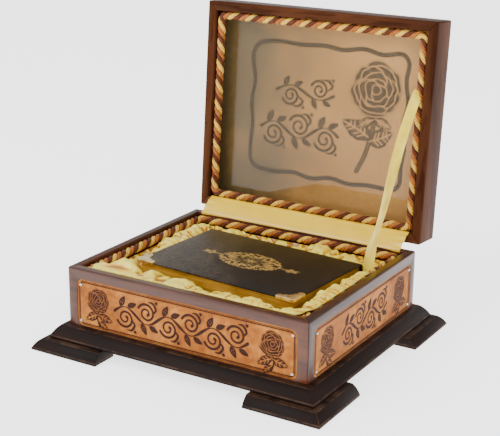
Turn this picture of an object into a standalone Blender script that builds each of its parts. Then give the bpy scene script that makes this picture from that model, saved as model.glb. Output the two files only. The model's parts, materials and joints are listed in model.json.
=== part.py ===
# A hinged wooden presentation box on a stepped plinth with four corner feet. The walls carry
# tooled leather panels, the lid has a glazed leather picture, and a bound book lies in a padded
# lining. The lid stands open on two butt hinges, held by a ribbon. Metres, +Z up, front at -Y.
import math

import bmesh
import bpy
from mathutils import Matrix, Vector

# Box walls and lid frame
box_width = 0.340
box_depth = 0.288
wall_thickness = 0.012
wall_height = 0.076
lid_rail_thickness = 0.013
lid_height = 0.045
lid_rebate = 0.005
outer_rounding = 0.003
inner_rounding = 0.0015
gap = 0.0003

# Plinth and feet, measured outwards from the outer wall face
foot_height = 0.014
foot_reach = 0.0345
foot_leg_length = 0.100
foot_inner_reach = 0.0035
plinth_height = 0.017
plinth_reach = 0.018
plinth_ledge = 0.008
lip_height = 0.0035
slope_bulge = 0.0009
foot_slope = 0.0095
plinth_slope = 0.011
arris = 0.0005
lip_arris = 0.0007
top_arris = 0.0008

# Leather panels and their dome-headed tacks
panel_margin = 0.0145
panel_top_margin = 0.013
panel_bottom_margin = 0.0015
panel_corner_radius = 0.008
panel_thickness = 0.002
recess_depth = 0.0025
tack_head_radius = 0.0021
tack_head_height = 0.0012
tack_shank_radius = 0.0005
tack_shank_length = 0.006
tack_side_inset = 0.0055
tack_end_inset = 0.007

# Lid filling, measured as depths from the lid's rim face
glass_depth = 0.024
glass_thickness = 0.002
picture_thickness = 0.003
lid_board_thickness = 0.012

# Hinges
hinge_behind_wall = 0.007
hinge_below_rim = 0.003
open_angle = math.radians(94.4)
hinge_spacing = 0.210
hinge_length = 0.040
leaf_height = 0.026
leaf_thickness = 0.002
barrel_radius = 0.005
pin_radius = 0.0015
knuckle_gap = 0.0004

# Floor, lining and book
floor_thickness = 0.008
lining_top = 0.106
floor_pad_rounding = 0.002
rope_radius = 0.006
base_rope_height = 0.099
lid_rope_depth = 0.0073
book_length = 0.235
book_width = 0.158
book_thickness = 0.038
book_board = 0.0025
spine_rounding = 0.005
book_inset = 0.0035
book_top = 0.107
book_turn = math.radians(-4.5)
book_centre = (0.0107, -0.006)
book_clearance = 0.002
corner_plate_leg = 0.024
corner_plate_thickness = 0.0008

# Ribbon stay and hinge flap
ribbon_width = 0.013
ribbon_thickness = 0.0006
ribbon_base_y = 0.064
ribbon_base_inset = 0.021
ribbon_lid_inset = 0.007
ribbon_lid_reach = 0.1995
ribbon_sag = 0.004
flap_thickness = 0.0008
flap_end_gap = 0.0045

# Heights and half sizes that follow
wall_bottom = foot_height + plinth_height
rim_height = wall_bottom + wall_height
half_width = box_width / 2
half_depth = box_depth / 2
floor_top = wall_bottom + floor_thickness
hinge_y = half_depth + hinge_behind_wall
hinge_z = rim_height - hinge_below_rim

# The lid in its own frame: the hinge axis is at the origin and the lid lies shut on the box
lid_origin = Vector((0, -hinge_y, hinge_below_rim + gap))

# The stand is centred on its overall depth, from the front feet to the back of the open lid
lid_back_centre = Vector((
    -(hinge_y + half_depth) + outer_rounding,
    lid_origin.z + lid_height - outer_rounding,
))
lid_back = (
    hinge_y
    + lid_back_centre.x * math.cos(open_angle)
    + lid_back_centre.y * math.sin(open_angle)
    + outer_rounding
)
frame_shift = (half_depth + foot_reach - lid_back) / 2

outward = {
    "front": Vector((0, -1, 0)),
    "rear": Vector((0, 1, 0)),
    "left": Vector((-1, 0, 0)),
    "right": Vector((1, 0, 0)),
}
up = Vector((0, 0, 1))


def clear_scene():
    for old in list(bpy.data.objects):
        bpy.data.objects.remove(old, do_unlink=True)


def new_material(name, colour, roughness, metallic=0.0):
    material = bpy.data.materials.new(name)
    material.use_nodes = True
    shader = material.node_tree.nodes["Principled BSDF"]
    linear = [(channel / 255) ** 2.2 for channel in colour]
    shader.inputs["Base Color"].default_value = (*linear, 1.0)
    shader.inputs["Roughness"].default_value = roughness
    shader.inputs["Metallic"].default_value = metallic
    return material


def axes_matrix(x_axis, y_axis, z_axis, place=Vector((0, 0, 0))):
    # A placement whose columns are the three axes
    turn = Matrix((x_axis, y_axis, z_axis)).transposed().to_4x4()
    return Matrix.Translation(place) @ turn


def add_piece(name, mesh, material, parent, matrix=Matrix()):
    # One named sub-part with its own material, placed in its parent's frame
    piece = bpy.data.objects.new(name, mesh)
    stand.objects.link(piece)
    piece.data.materials.clear()
    piece.data.materials.append(material)
    piece.parent = parent
    piece.matrix_basis = matrix
    return piece


def add_empty(name, place, turn=(0, 0, 0), parent=None):
    empty = bpy.data.objects.new(name, None)
    stand.objects.link(empty)
    empty.parent = parent
    empty.location = place
    empty.rotation_euler = turn
    return empty


def mesh_from(bm, name):
    # The faces are made to agree, then turned outwards if the body's volume comes out negative
    bmesh.ops.recalc_face_normals(bm, faces=bm.faces)
    if bm.calc_volume(signed=True) < 0:
        bmesh.ops.reverse_faces(bm, faces=bm.faces)
    mesh = bpy.data.meshes.new(name)
    bm.to_mesh(mesh)
    bm.free()
    return mesh


def evaluated_mesh(obj):
    depsgraph = bpy.context.evaluated_depsgraph_get()
    depsgraph.update()
    return bpy.data.meshes.new_from_object(obj.evaluated_get(depsgraph))


def curve_mesh(curve):
    # The welded mesh of a curve, which is then removed
    guide = bpy.data.objects.new("guide", curve)
    stand.objects.link(guide)
    mesh = evaluated_mesh(guide)
    bpy.data.objects.remove(guide, do_unlink=True)
    bm = bmesh.new()
    bm.from_mesh(mesh)
    bmesh.ops.remove_doubles(bm, verts=bm.verts, dist=1e-6)
    return bm


def add_spline(curve, points):
    # A closed spline through points of two or three coordinates
    spline = curve.splines.new("POLY")
    spline.points.add(len(points) - 1)
    for point, place in zip(spline.points, points):
        point.co = (*place, 1) if len(place) == 3 else (*place, 0, 1)
    spline.use_cyclic_u = True


def outline_prism(outline, length):
    # A flat outline, extruded half its length to each side of its plane
    curve = bpy.data.curves.new("outline", "CURVE")
    curve.dimensions = "2D"
    curve.fill_mode = "BOTH"
    curve.extrude = length / 2
    add_spline(curve, outline)
    return curve_mesh(curve)


def arc(centre_x, centre_y, radius, start, end, steps):
    angles = [math.radians(start + (end - start) * step / steps) for step in range(steps + 1)]
    return [(centre_x + radius * math.cos(angle), centre_y + radius * math.sin(angle)) for angle in angles]


def bulged(first, last, bulge, steps=4):
    # A line that swells to its right by the bulge at its middle
    start = Vector(first)
    run = Vector(last) - start
    side = Vector((run.y, -run.x)).normalized()
    shares = [step / steps for step in range(steps + 1)]
    return [tuple(start + run * share + side * bulge * 4 * share * (1 - share)) for share in shares]


def rounded_rectangle(width, height, radius, steps=6):
    x, y = width / 2 - radius, height / 2 - radius
    points = []
    for quarter, (sign_x, sign_y) in enumerate(((1, 1), (-1, 1), (-1, -1), (1, -1))):
        points += arc(sign_x * x, sign_y * y, radius, 90 * quarter, 90 * quarter + 90, steps)
    return points


def box_mesh(low, high, name, bevel=0.0):
    size = Vector(high) - Vector(low)
    middle = (Vector(high) + Vector(low)) / 2
    bm = bmesh.new()
    bmesh.ops.create_cube(bm, size=1, matrix=Matrix.Translation(middle) @ Matrix.Diagonal((*size, 1)))
    if bevel:
        bmesh.ops.bevel(bm, geom=bm.edges, offset=bevel, segments=3, profile=0.5, affect="EDGES")
    return mesh_from(bm, name)


def cut_off(bm, point, normal):
    # Everything on the normal's side of the plane is removed and the cut is closed
    geometry = bm.verts[:] + bm.edges[:] + bm.faces[:]
    cut = bmesh.ops.bisect_plane(
        bm, geom=geometry, dist=1e-7, plane_co=point, plane_no=normal, clear_outer=True
    )
    edges = [item for item in cut["geom_cut"] if isinstance(item, bmesh.types.BMEdge)]
    if edges:
        bmesh.ops.holes_fill(bm, edges=edges)


def mitred_rail(name, outline, side, half_x, half_y, rounding=0.0):
    # One side of a mitred frame. The outline's x runs outwards from the frame's outer face and
    # its y runs up. The frame's outer half sizes are half_x and half_y.
    along_x = side in ("front", "rear")
    reach, half_length = (half_y, half_x) if along_x else (half_x, half_y)
    overhang = max(point[0] for point in outline)
    bm = outline_prism(outline, 2 * (half_length + overhang + gap))
    for end in (-1, 1):
        cut_off(bm, Vector((0, 0, end * (half_length - gap))), Vector((-1, 0, end)))
        for angle in (15, 30, 45) if rounding else ():
            tangent = Vector((math.cos(math.radians(angle)), 0, end * math.sin(math.radians(angle))))
            middle = Vector((-rounding, 0, end * (half_length - rounding)))
            cut_off(bm, middle + tangent * rounding, tangent)
    out = outward[side]
    bm.transform(axes_matrix(out, up, out.cross(up), out * reach))
    return mesh_from(bm, name)


def boolean(target, cutter, operation="DIFFERENCE"):
    # Cuts the target with the cutter, or joins them, and removes the cutter
    modifier = target.modifiers.new("boolean", "BOOLEAN")
    modifier.operation = operation
    modifier.object = cutter
    cutter.hide_render = True
    cutter.display_type = "WIRE"
    mesh = evaluated_mesh(target)
    target.modifiers.clear()
    target.data = mesh
    bpy.data.objects.remove(cutter, do_unlink=True)


def turned_mesh(name, profile, segments):
    # A profile of (radius, height) points, top to bottom, turned about Z
    bm = bmesh.new()
    points = [bm.verts.new((radius, 0, height)) for radius, height in profile]
    for first, second in zip(points, points[1:]):
        bm.edges.new((first, second))
    lathe = bpy.data.objects.new("lathe", bpy.data.meshes.new(name))
    bm.to_mesh(lathe.data)
    bm.free()
    stand.objects.link(lathe)
    screw = lathe.modifiers.new("turn", "SCREW")
    screw.steps = segments
    screw.render_steps = segments
    screw.use_merge_vertices = True
    screw.merge_threshold = 0.00001
    mesh = evaluated_mesh(lathe)
    bpy.data.objects.remove(lathe, do_unlink=True)
    return mesh


def panel_matrix(side, reach, height):
    # The frame of a panel on one side: x along the wall, y up, z outwards
    out = outward[side]
    return axes_matrix(up.cross(out), up, out, out * reach + up * height)


def tack_places(width, height):
    x, y = width / 2 - tack_side_inset, height / 2 - tack_end_inset
    return {"lower_left": (-x, -y), "lower_right": (x, -y), "upper_left": (-x, y), "upper_right": (x, y)}


def drill_for_tacks(target, places, matrix, parent, deepest, highest):
    # Clearance holes for the tack shanks, from one depth to another along the panel's z
    bm = bmesh.new()
    for x, y in places:
        middle = Matrix.Translation((x, y, (deepest + highest) / 2))
        radius = tack_shank_radius + gap
        bmesh.ops.create_cone(
            bm, cap_ends=True, segments=8, radius1=radius, radius2=radius,
            depth=highest - deepest, matrix=middle,
        )
    cutter = add_piece("drill", mesh_from(bm, "drill"), walnut, parent, matrix)
    boolean(target, cutter)


def add_panel(name, width, height, radius, matrix, parent, carrier, shares_recess):
    # A leather panel in its recess, held by four tacks. The panel's frame has z = 0 on the
    # leather's outer face.
    if shares_recess:
        opening = rounded_rectangle(width + 2 * gap, height + 2 * gap, radius + gap)
        bm = outline_prism(opening, 2 * recess_depth)
        recess_matrix = matrix @ Matrix.Translation((0, 0, recess_depth - panel_thickness - gap))
        boolean(carrier, add_piece("recess", mesh_from(bm, "recess"), walnut, parent, recess_matrix))
    bm = outline_prism(rounded_rectangle(width, height, radius), panel_thickness)
    bm.transform(Matrix.Translation((0, 0, -panel_thickness / 2)))
    panel = add_piece(name, mesh_from(bm, name), leather, parent, matrix)
    places = tack_places(width, height)
    bottom = -tack_shank_length - gap
    drill_for_tacks(panel, places.values(), matrix, parent, -2 * panel_thickness, panel_thickness)
    drill_for_tacks(carrier, places.values(), matrix, parent, bottom, 0)
    for corner, (x, y) in places.items():
        place = matrix @ Matrix.Translation((x, y, gap))
        add_piece(f"{name}_tack_{corner}", tack_mesh, nickel, parent, place)


def make_tack_mesh():
    dome = arc(0, 0, 1, 90, 0, 4)
    profile = [(tack_head_radius * x, tack_head_height * y) for x, y in dome]
    profile += [(tack_shank_radius, 0), (tack_shank_radius, -tack_shank_length), (0, -tack_shank_length)]
    profile[0] = (0, tack_head_height)
    return turned_mesh("tack", profile, 12)


def make_walls():
    outline = [(0, wall_bottom + gap)]
    outline += arc(-outer_rounding, rim_height - outer_rounding, outer_rounding, 0, 90, 4)
    outline += arc(inner_rounding - wall_thickness, rim_height - inner_rounding, inner_rounding, 90, 180, 3)
    outline += [(-wall_thickness, wall_bottom + gap)]
    height = wall_height - panel_top_margin - panel_bottom_margin
    middle = wall_bottom + panel_bottom_margin + height / 2
    sunk = recess_depth - panel_thickness - gap
    for side in outward:
        mesh = mitred_rail(f"wall_{side}", outline, side, half_width, half_depth, outer_rounding)
        wall = add_piece(f"wall_{side}", mesh, walnut, box_frame)
        if side != "rear":
            span, reach = (box_width, half_depth) if side == "front" else (box_depth, half_width)
            width = span - 2 * panel_margin
            matrix = panel_matrix(side, reach - sunk, middle)
            add_panel(f"panel_{side}", width, height, panel_corner_radius, matrix, box_frame, wall, True)
    inset = wall_thickness + gap
    low = (inset - half_width, inset - half_depth, wall_bottom + gap)
    high = (half_width - inset, half_depth - inset, floor_top)
    add_piece("floor_board", box_mesh(low, high, "floor_board"), board, box_frame)


def make_plinth():
    bottom = foot_height + gap
    slope_top = (plinth_reach - plinth_slope, wall_bottom - arris)
    outline = [(plinth_reach - arris, bottom), (plinth_reach, bottom + arris)]
    outline += [(plinth_reach, bottom + lip_height - lip_arris)]
    outline += bulged((plinth_reach - lip_arris, bottom + lip_height), slope_top, slope_bulge)
    outline += [(slope_top[0] - top_arris, wall_bottom)]
    outline += [(-wall_thickness - plinth_ledge, wall_bottom), (-wall_thickness - plinth_ledge, bottom)]
    for side in outward:
        mesh = mitred_rail(f"plinth_{side}", outline, side, half_width, half_depth)
        add_piece(f"plinth_{side}", mesh, ebony, box_frame)


def make_feet():
    slope_top = (foot_reach - foot_slope, foot_height - arris)
    outline = [(foot_reach - arris, 0), (foot_reach, arris), (foot_reach, lip_height - lip_arris)]
    outline += bulged((foot_reach - lip_arris, lip_height), slope_top, slope_bulge)
    outline += [(slope_top[0] - top_arris, foot_height)]
    outline += [(-foot_inner_reach, foot_height), (-foot_inner_reach, 0)]
    leg_run = foot_leg_length + gap
    for end, sign_y in (("front", -1), ("rear", 1)):
        for hand, sign_x in (("left", -1), ("right", 1)):
            # One leg, with its square end inwards and its other end open on the mitre plane
            bm = outline_prism(outline, leg_run)
            leg_middle = foot_reach - foot_leg_length + leg_run / 2
            bm.transform(axes_matrix(Vector((0, 1, 0)), up, Vector((1, 0, 0)), Vector((leg_middle, 0, 0))))
            geometry = bm.verts[:] + bm.edges[:] + bm.faces[:]
            mitre = Vector((1, -1, 0))
            bmesh.ops.bisect_plane(bm, geom=geometry, dist=1e-7, plane_no=mitre, clear_outer=True)
            # The other leg is its mirror image across the mitre plane
            geometry = bm.verts[:] + bm.edges[:] + bm.faces[:]
            copied = bmesh.ops.duplicate(bm, geom=geometry)["geom"]
            swapped = [item for item in copied if isinstance(item, bmesh.types.BMVert)]
            swap = Matrix(((0, 1, 0, 0), (1, 0, 0, 0), (0, 0, 1, 0), (0, 0, 0, 1)))
            bmesh.ops.transform(bm, verts=swapped, matrix=swap)
            bmesh.ops.remove_doubles(bm, verts=bm.verts, dist=1e-6)
            bm.transform(Matrix.Diagonal((sign_x, sign_y, 1, 1)))
            name = f"foot_{end}_{hand}"
            corner = Matrix.Translation((sign_x * half_width, sign_y * half_depth, 0))
            add_piece(name, mesh_from(bm, name), ebony, box_frame, corner)


def rope_loop(name, half_x, half_y, place, parent):
    # A closed loop of rope along the inside of a frame whose inner half sizes are given
    inset = rope_radius + gap
    curve = bpy.data.curves.new(name, "CURVE")
    curve.dimensions = "3D"
    curve.bevel_depth = rope_radius
    curve.bevel_resolution = 3
    route = rounded_rectangle(2 * (half_x - inset), 2 * (half_y - inset), rope_radius + 2 * gap, 5)
    add_spline(curve, [(x, y, 0) for x, y in route])
    add_piece(name, mesh_from(curve_mesh(curve), name), cord, parent, Matrix.Translation(place))


def make_lining():
    inner_x, inner_y = half_width - wall_thickness, half_depth - wall_thickness
    across, along = abs(math.sin(book_turn)), math.cos(book_turn)
    opening_x = (book_length * along + book_width * across) / 2 + book_clearance
    opening_y = (book_length * across + book_width * along) / 2 + book_clearance
    widths = {
        "front": inner_y + book_centre[1] - opening_y,
        "rear": inner_y - book_centre[1] - opening_y,
        "left": inner_x + book_centre[0] - opening_x,
        "right": inner_x - book_centre[0] - opening_x,
    }
    rope_shelf = base_rope_height - rope_radius - gap
    rope_room = 2 * (rope_radius + gap)
    for side, width in widths.items():
        pad_rounding = min(0.003, (width - rope_room) / 3)
        outline = [(-gap, floor_top + gap), (-gap, rope_shelf), (-rope_room, rope_shelf)]
        outline += arc(-rope_room - pad_rounding, lining_top - pad_rounding, pad_rounding, 0, 90, 3)
        outline += arc(pad_rounding - width, lining_top - pad_rounding, pad_rounding, 90, 180, 3)
        outline += [(-width, floor_top + gap)]
        mesh = mitred_rail(f"lining_{side}", outline, side, inner_x, inner_y)
        add_piece(f"lining_{side}", mesh, satin, box_frame)
    low = Vector((book_centre[0] - opening_x + gap, book_centre[1] - opening_y + gap, floor_top + gap))
    high = Vector((book_centre[0] + opening_x - gap, book_centre[1] + opening_y - gap, 0))
    high.z = book_top - book_thickness - gap
    add_piece("lining_floor", box_mesh(low, high, "lining_floor", floor_pad_rounding), satin, box_frame)
    rope_loop("rope_base", inner_x, inner_y, (0, 0, base_rope_height), box_frame)


def make_book():
    half_x, half_y = book_length / 2, book_width / 2
    bottom = book_top - book_thickness
    book_frame = add_empty("book_frame", (*book_centre, bottom), (0, 0, book_turn), box_frame)
    outline = [(-half_y, 0)]
    spine_y = half_y - spine_rounding
    outline += arc(spine_y, spine_rounding, spine_rounding, -90, 0, 4)
    outline += arc(spine_y, book_thickness - spine_rounding, spine_rounding, 0, 90, 4)
    outline += [(-half_y, book_thickness), (-half_y, book_thickness - book_board)]
    outline += [(half_y - book_board, book_thickness - book_board), (half_y - book_board, book_board)]
    outline += [(-half_y, book_board)]
    bm = outline_prism(outline, book_length)
    bm.transform(axes_matrix(Vector((0, 1, 0)), up, Vector((1, 0, 0))))
    add_piece("book_cover", mesh_from(bm, "book_cover"), binding, book_frame)
    low = (book_inset - half_x, book_inset - half_y, book_board + gap)
    high = (half_x - book_inset, half_y - book_board - gap, book_thickness - book_board - gap)
    add_piece("book_pages", box_mesh(low, high, "book_pages"), gilt, book_frame)
    for hand, sign in (("left", -1), ("right", 1)):
        make_corner_plate(f"book_corner_{hand}", sign, half_x, half_y, book_frame)


def make_corner_plate(name, sign, half_x, half_y, parent):
    # A triangular metal plate over a cover corner, folded down its two edges
    rim = gap + corner_plate_thickness
    outline = [(sign * rim, -rim), (-sign * corner_plate_leg, -rim), (sign * rim, corner_plate_leg)]
    top = book_thickness + rim
    bottom = book_thickness - book_board
    bm = outline_prism(outline, top - bottom)
    place = Matrix.Translation((sign * half_x, -half_y, (top + bottom) / 2))
    plate = add_piece(name, mesh_from(bm, name), gilt_metal, parent, place)
    reach = corner_plate_leg * 2
    low = (min(sign * gap, -sign * reach), -gap, -reach)
    high = (max(sign * gap, -sign * reach), reach, (top - bottom) / 2 - corner_plate_thickness)
    inner = add_piece("inner", box_mesh(low, high, "inner"), gilt_metal, parent, place)
    boolean(plate, inner)


def make_lid():
    # The lid is modelled shut, with its rim face down
    seat = Matrix.Translation(lid_origin)
    inner = -lid_rail_thickness
    outline = arc(-outer_rounding, outer_rounding, outer_rounding, -90, 0, 4)
    outline += arc(-outer_rounding, lid_height - outer_rounding, outer_rounding, 0, 90, 4)
    outline += [(inner + lid_rebate, lid_height), (inner + lid_rebate, glass_depth), (inner, glass_depth)]
    outline += arc(inner + inner_rounding, inner_rounding, inner_rounding, 180, 270, 3)
    for side in outward:
        mesh = mitred_rail(f"lid_rail_{side}", outline, side, half_width, half_depth, outer_rounding)
        add_piece(f"lid_rail_{side}", mesh, walnut, lid_frame, seat)
    inset = lid_rail_thickness - lid_rebate + gap
    fill_x, fill_y = half_width - inset, half_depth - inset
    depth = glass_depth + gap
    stack = (
        ("lid_glass", glass_thickness, glass),
        ("lid_picture_leather", picture_thickness, suede),
        ("lid_board", lid_board_thickness, board),
    )
    for name, thickness, material in stack:
        mesh = box_mesh((-fill_x, -fill_y, depth), (fill_x, fill_y, depth + thickness), name)
        layer = add_piece(name, mesh, material, lid_frame, seat)
        depth += thickness + gap
    flat = axes_matrix(Vector((1, 0, 0)), Vector((0, 1, 0)), up, Vector((0, 0, depth + panel_thickness)))
    add_panel(
        "lid_outer_leather", 2 * fill_x, 2 * fill_y, inner_rounding, seat @ flat, lid_frame, layer, False,
    )
    inner_x, inner_y = half_width - lid_rail_thickness, half_depth - lid_rail_thickness
    rope_loop("rope_lid", inner_x, inner_y, lid_origin + Vector((0, 0, lid_rope_depth)), lid_frame)


def leaf_mesh(name, knuckles, sign):
    # A hinge leaf against the rear face, with the axis along X through the origin. The plate lies
    # on the side that sign gives, up for the lid's leaf and down for the box's leaf.
    near = gap - hinge_behind_wall
    far = near + leaf_thickness
    clear = barrel_radius + 2 * knuckle_gap
    low = (-hinge_length / 2, near, min(sign * clear, sign * leaf_height))
    high = (hinge_length / 2, far, max(sign * clear, sign * leaf_height))
    leaf = add_piece(name, box_mesh(low, high, name), brass, box_frame)
    across = axes_matrix(Vector((0, 1, 0)), up, Vector((1, 0, 0)))
    for start, end in knuckles:
        middle = Matrix.Translation(((start + end) / 2, 0, 0))
        tab_low = (start, near, min(0, sign * (clear + leaf_thickness)))
        tab_high = (end, far, max(0, sign * (clear + leaf_thickness)))
        bm = outline_prism(arc(0, 0, barrel_radius, 0, 352.5, 47), end - start)
        bm.transform(middle @ across)
        barrel = add_piece("barrel", mesh_from(bm, "barrel"), brass, box_frame)
        tab = add_piece("tab", box_mesh(tab_low, tab_high, "tab"), brass, box_frame)
        boolean(barrel, tab, "UNION")
        boolean(leaf, barrel, "UNION")
    bore_bm = outline_prism(arc(0, 0, pin_radius + gap, 0, 345, 23), 2 * hinge_length)
    bore_bm.transform(across)
    boolean(leaf, add_piece("bore", mesh_from(bore_bm, "bore"), brass, box_frame))
    mesh = leaf.data
    bpy.data.objects.remove(leaf, do_unlink=True)
    return mesh


def make_hinges():
    third = hinge_length / 6
    middle_knuckle = [(-third, third)]
    outer_knuckles = [(-hinge_length / 2, -third - knuckle_gap), (third + knuckle_gap, hinge_length / 2)]
    base_mesh = leaf_mesh("base_leaf", outer_knuckles, -1)
    lid_mesh = leaf_mesh("lid_leaf", middle_knuckle, 1)
    pin_bm = outline_prism(arc(0, 0, pin_radius, 0, 345, 23), hinge_length)
    pin_bm.transform(axes_matrix(Vector((0, 1, 0)), up, Vector((1, 0, 0))))
    pin_mesh = mesh_from(pin_bm, "hinge_pin")
    for hand, sign in (("left", -1), ("right", 1)):
        x = sign * hinge_spacing / 2
        axis = Matrix.Translation((x, hinge_y, hinge_z))
        add_piece(f"hinge_{hand}_base_leaf", base_mesh, brass, box_frame, axis)
        add_piece(f"hinge_{hand}_pin", pin_mesh, brass, box_frame, axis)
        add_piece(f"hinge_{hand}_lid_leaf", lid_mesh, brass, lid_frame, Matrix.Translation((x, 0, 0)))


def open_point(y, depth):
    # Where a point of the lid, y from its middle and a depth from its rim face, stands when open
    shut = Vector((0, lid_origin.y + y, lid_origin.z + depth))
    turned = Matrix.Rotation(-open_angle, 3, "X") @ shut
    return Vector((turned.y + hinge_y, turned.z + hinge_z))


def strip_mesh(name, route, thickness, width):
    # A flat strip that follows a route of (y, z) points, with its width along X
    outer, inner = [], []
    for index, point in enumerate(route):
        run = route[min(index + 1, len(route) - 1)] - route[max(index - 1, 0)]
        side = Vector((-run.y, run.x)).normalized() * thickness / 2
        outer.append(tuple(point + side))
        inner.append(tuple(point - side))
    bm = outline_prism(outer + inner[::-1], width)
    bm.transform(axes_matrix(Vector((0, 1, 0)), up, Vector((1, 0, 0))))
    return bm


def make_ribbon():
    start = Vector((ribbon_base_y, max(lining_top, book_top) + 2 * gap))
    end = open_point(half_depth - ribbon_lid_reach, -2 * gap)
    steps = 10
    route = []
    for step in range(steps + 1):
        share = step / steps
        drop = Vector((0, -4 * ribbon_sag * share * (1 - share)))
        route.append(start.lerp(end, share) + drop)
    bm = strip_mesh("ribbon_stay", route, ribbon_thickness, ribbon_width)
    base_x = half_width - wall_thickness - ribbon_base_inset
    lid_x = half_width - lid_rail_thickness - ribbon_lid_inset
    slant = (lid_x - base_x) / (end.y - start.y)
    shear = Matrix.Identity(4)
    shear[0][2] = slant
    shear[0][3] = base_x - slant * start.y
    bm.transform(shear)
    add_piece("ribbon_stay", mesh_from(bm, "ribbon_stay"), ribbon_satin, box_frame)


def make_flap():
    rear_inner = half_depth - wall_thickness
    start = Vector((rear_inner + inner_rounding, rim_height + 3 * gap))
    end = open_point(half_depth - lid_rail_thickness + inner_rounding, -3 * gap)
    flap_width = 2 * (half_width - lid_rail_thickness - flap_end_gap)
    bm = strip_mesh("hinge_flap", [start, end], flap_thickness, flap_width)
    add_piece("hinge_flap", mesh_from(bm, "hinge_flap"), satin, box_frame)


clear_scene()
stand = bpy.data.collections.new("quran_stand")
bpy.context.scene.collection.children.link(stand)

walnut = new_material("walnut", (104, 72, 62), 0.32)
ebony = new_material("ebony", (44, 36, 34), 0.5)
board = new_material("board", (120, 88, 66), 0.7)
leather = new_material("tooled_leather", (190, 130, 74), 0.55)
suede = new_material("suede", (160, 136, 108), 0.8)
glass = new_material("glass", (205, 215, 210), 0.05)
nickel = new_material("nickel", (190, 186, 176), 0.3, 1.0)
brass = new_material("brass", (186, 146, 78), 0.35, 1.0)
satin = new_material("gold_satin", (244, 214, 110), 0.4)
ribbon_satin = new_material("lemon_satin", (240, 230, 140), 0.4)
cord = new_material("twisted_cord", (190, 130, 80), 0.6)
binding = new_material("book_binding", (42, 30, 24), 0.45)
gilt = new_material("gilt_pages", (200, 160, 70), 0.4)
gilt_metal = new_material("gilt_metal", (206, 170, 96), 0.3, 1.0)

box_frame = add_empty("box_frame", (0, frame_shift, 0))
lid_frame = add_empty("lid_frame", (0, hinge_y, hinge_z), (-open_angle, 0, 0), box_frame)
tack_mesh = make_tack_mesh()

make_walls()
make_plinth()
make_feet()
make_lining()
make_book()
make_lid()
make_hinges()
make_ribbon()
make_flap()

for piece in stand.objects:
    if piece.type == "MESH":
        piece.data.shade_smooth()
        piece.data.set_sharp_from_angle(angle=math.radians(30))
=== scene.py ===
import json
import math
import random

import bmesh
import bpy
import numpy as np
from mathutils import Matrix, Vector, noise


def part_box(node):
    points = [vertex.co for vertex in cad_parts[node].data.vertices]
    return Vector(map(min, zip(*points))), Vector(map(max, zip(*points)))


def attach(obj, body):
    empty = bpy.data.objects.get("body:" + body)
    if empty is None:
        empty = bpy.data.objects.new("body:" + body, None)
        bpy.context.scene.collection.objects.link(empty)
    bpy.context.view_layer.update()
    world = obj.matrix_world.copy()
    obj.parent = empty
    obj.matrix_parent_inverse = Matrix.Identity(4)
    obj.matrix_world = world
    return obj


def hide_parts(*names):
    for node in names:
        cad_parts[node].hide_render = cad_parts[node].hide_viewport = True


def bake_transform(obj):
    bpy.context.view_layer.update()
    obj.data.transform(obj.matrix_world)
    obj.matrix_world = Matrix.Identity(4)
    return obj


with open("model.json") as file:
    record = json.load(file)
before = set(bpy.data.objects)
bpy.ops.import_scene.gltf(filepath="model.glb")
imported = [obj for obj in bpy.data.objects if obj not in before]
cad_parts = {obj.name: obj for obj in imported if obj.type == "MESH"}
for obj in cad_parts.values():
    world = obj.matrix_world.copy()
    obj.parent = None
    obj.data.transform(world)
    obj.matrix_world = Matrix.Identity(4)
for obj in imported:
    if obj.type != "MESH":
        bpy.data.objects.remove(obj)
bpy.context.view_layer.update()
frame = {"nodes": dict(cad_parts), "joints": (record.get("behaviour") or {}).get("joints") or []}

print("frame loaded")

# Places read from the frame
wallFront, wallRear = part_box("wall_front"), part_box("wall_rear")
wallLeft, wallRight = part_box("wall_left"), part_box("wall_right")
middleY = (wallFront[0].y + wallRear[1].y) / 2
halfWidth, halfDepth = wallRight[1].x, (wallRear[1].y - wallFront[0].y) / 2
wallThick = wallRight[1].x - wallRight[0].x
wallFoot, rimZ = wallFront[0].z, wallFront[1].z
hinge = Vector(frame["joints"][0]["pos_m"])
openTurn = math.radians(frame["joints"][0]["range_deg"][1])
hingeBehind = hinge.y - wallRear[1].y
hingeBelow = rimZ - hinge.z
lidGap = 0.0003
lidSeat = Matrix.Translation(hinge) @ Matrix.Rotation(-openTurn, 4, "X")
lidSeat = lidSeat @ Matrix.Translation((0, -hingeBehind, hingeBelow + lidGap))


def lidPoint(x, reach, depth):
    # reach runs up the open lid from its hinge edge, depth runs back from its rim face
    return lidSeat @ Vector((x, -reach, depth))


def wallFrame(out, distance, height):
    # x to the right as seen from outside, y up, z outwards
    out = Vector(out)
    up = Vector((0, 0, 1))
    turn = Matrix((up.cross(out), up, out)).transposed().to_4x4()
    return Matrix.Translation(Vector((0, middleY, height)) + out * distance) @ turn


# Camera and lights
view = {
    "offset": (0.7785, -1.2883, 0.6404),    # from the middle of the box walls, on the floor
    "turn": (72.311, -0.566, 31.126),
    "lens": 90.98,
}
light = {
    "world": 1.0,
    "worldTint": (1.0, 1.0, 1.0),
    "key": 40, "keySize": 1.6, "keyPlace": (-1.1, -1.5, 2.0),
    "fill": 15, "fillSize": 2.0, "fillPlace": (2.0, -1.0, 1.2),
    "floorTint": (0.93, 0.93, 0.93), "floorGlow": 2.1, "aimHeight": 0.15,
}


def linked(name, data):
    # A new object in the scene
    thing = bpy.data.objects.new(name, data)
    bpy.context.scene.collection.objects.link(thing)
    return thing


cameraData = bpy.data.cameras.new("view")
camera = linked("view", cameraData)
camera.location = Vector(view["offset"]) + Vector((0, middleY, 0))
camera.rotation_euler = [math.radians(angle) for angle in view["turn"]]
cameraData.lens = view["lens"]
cameraData.sensor_width = 36
bpy.context.scene.camera = camera


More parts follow.
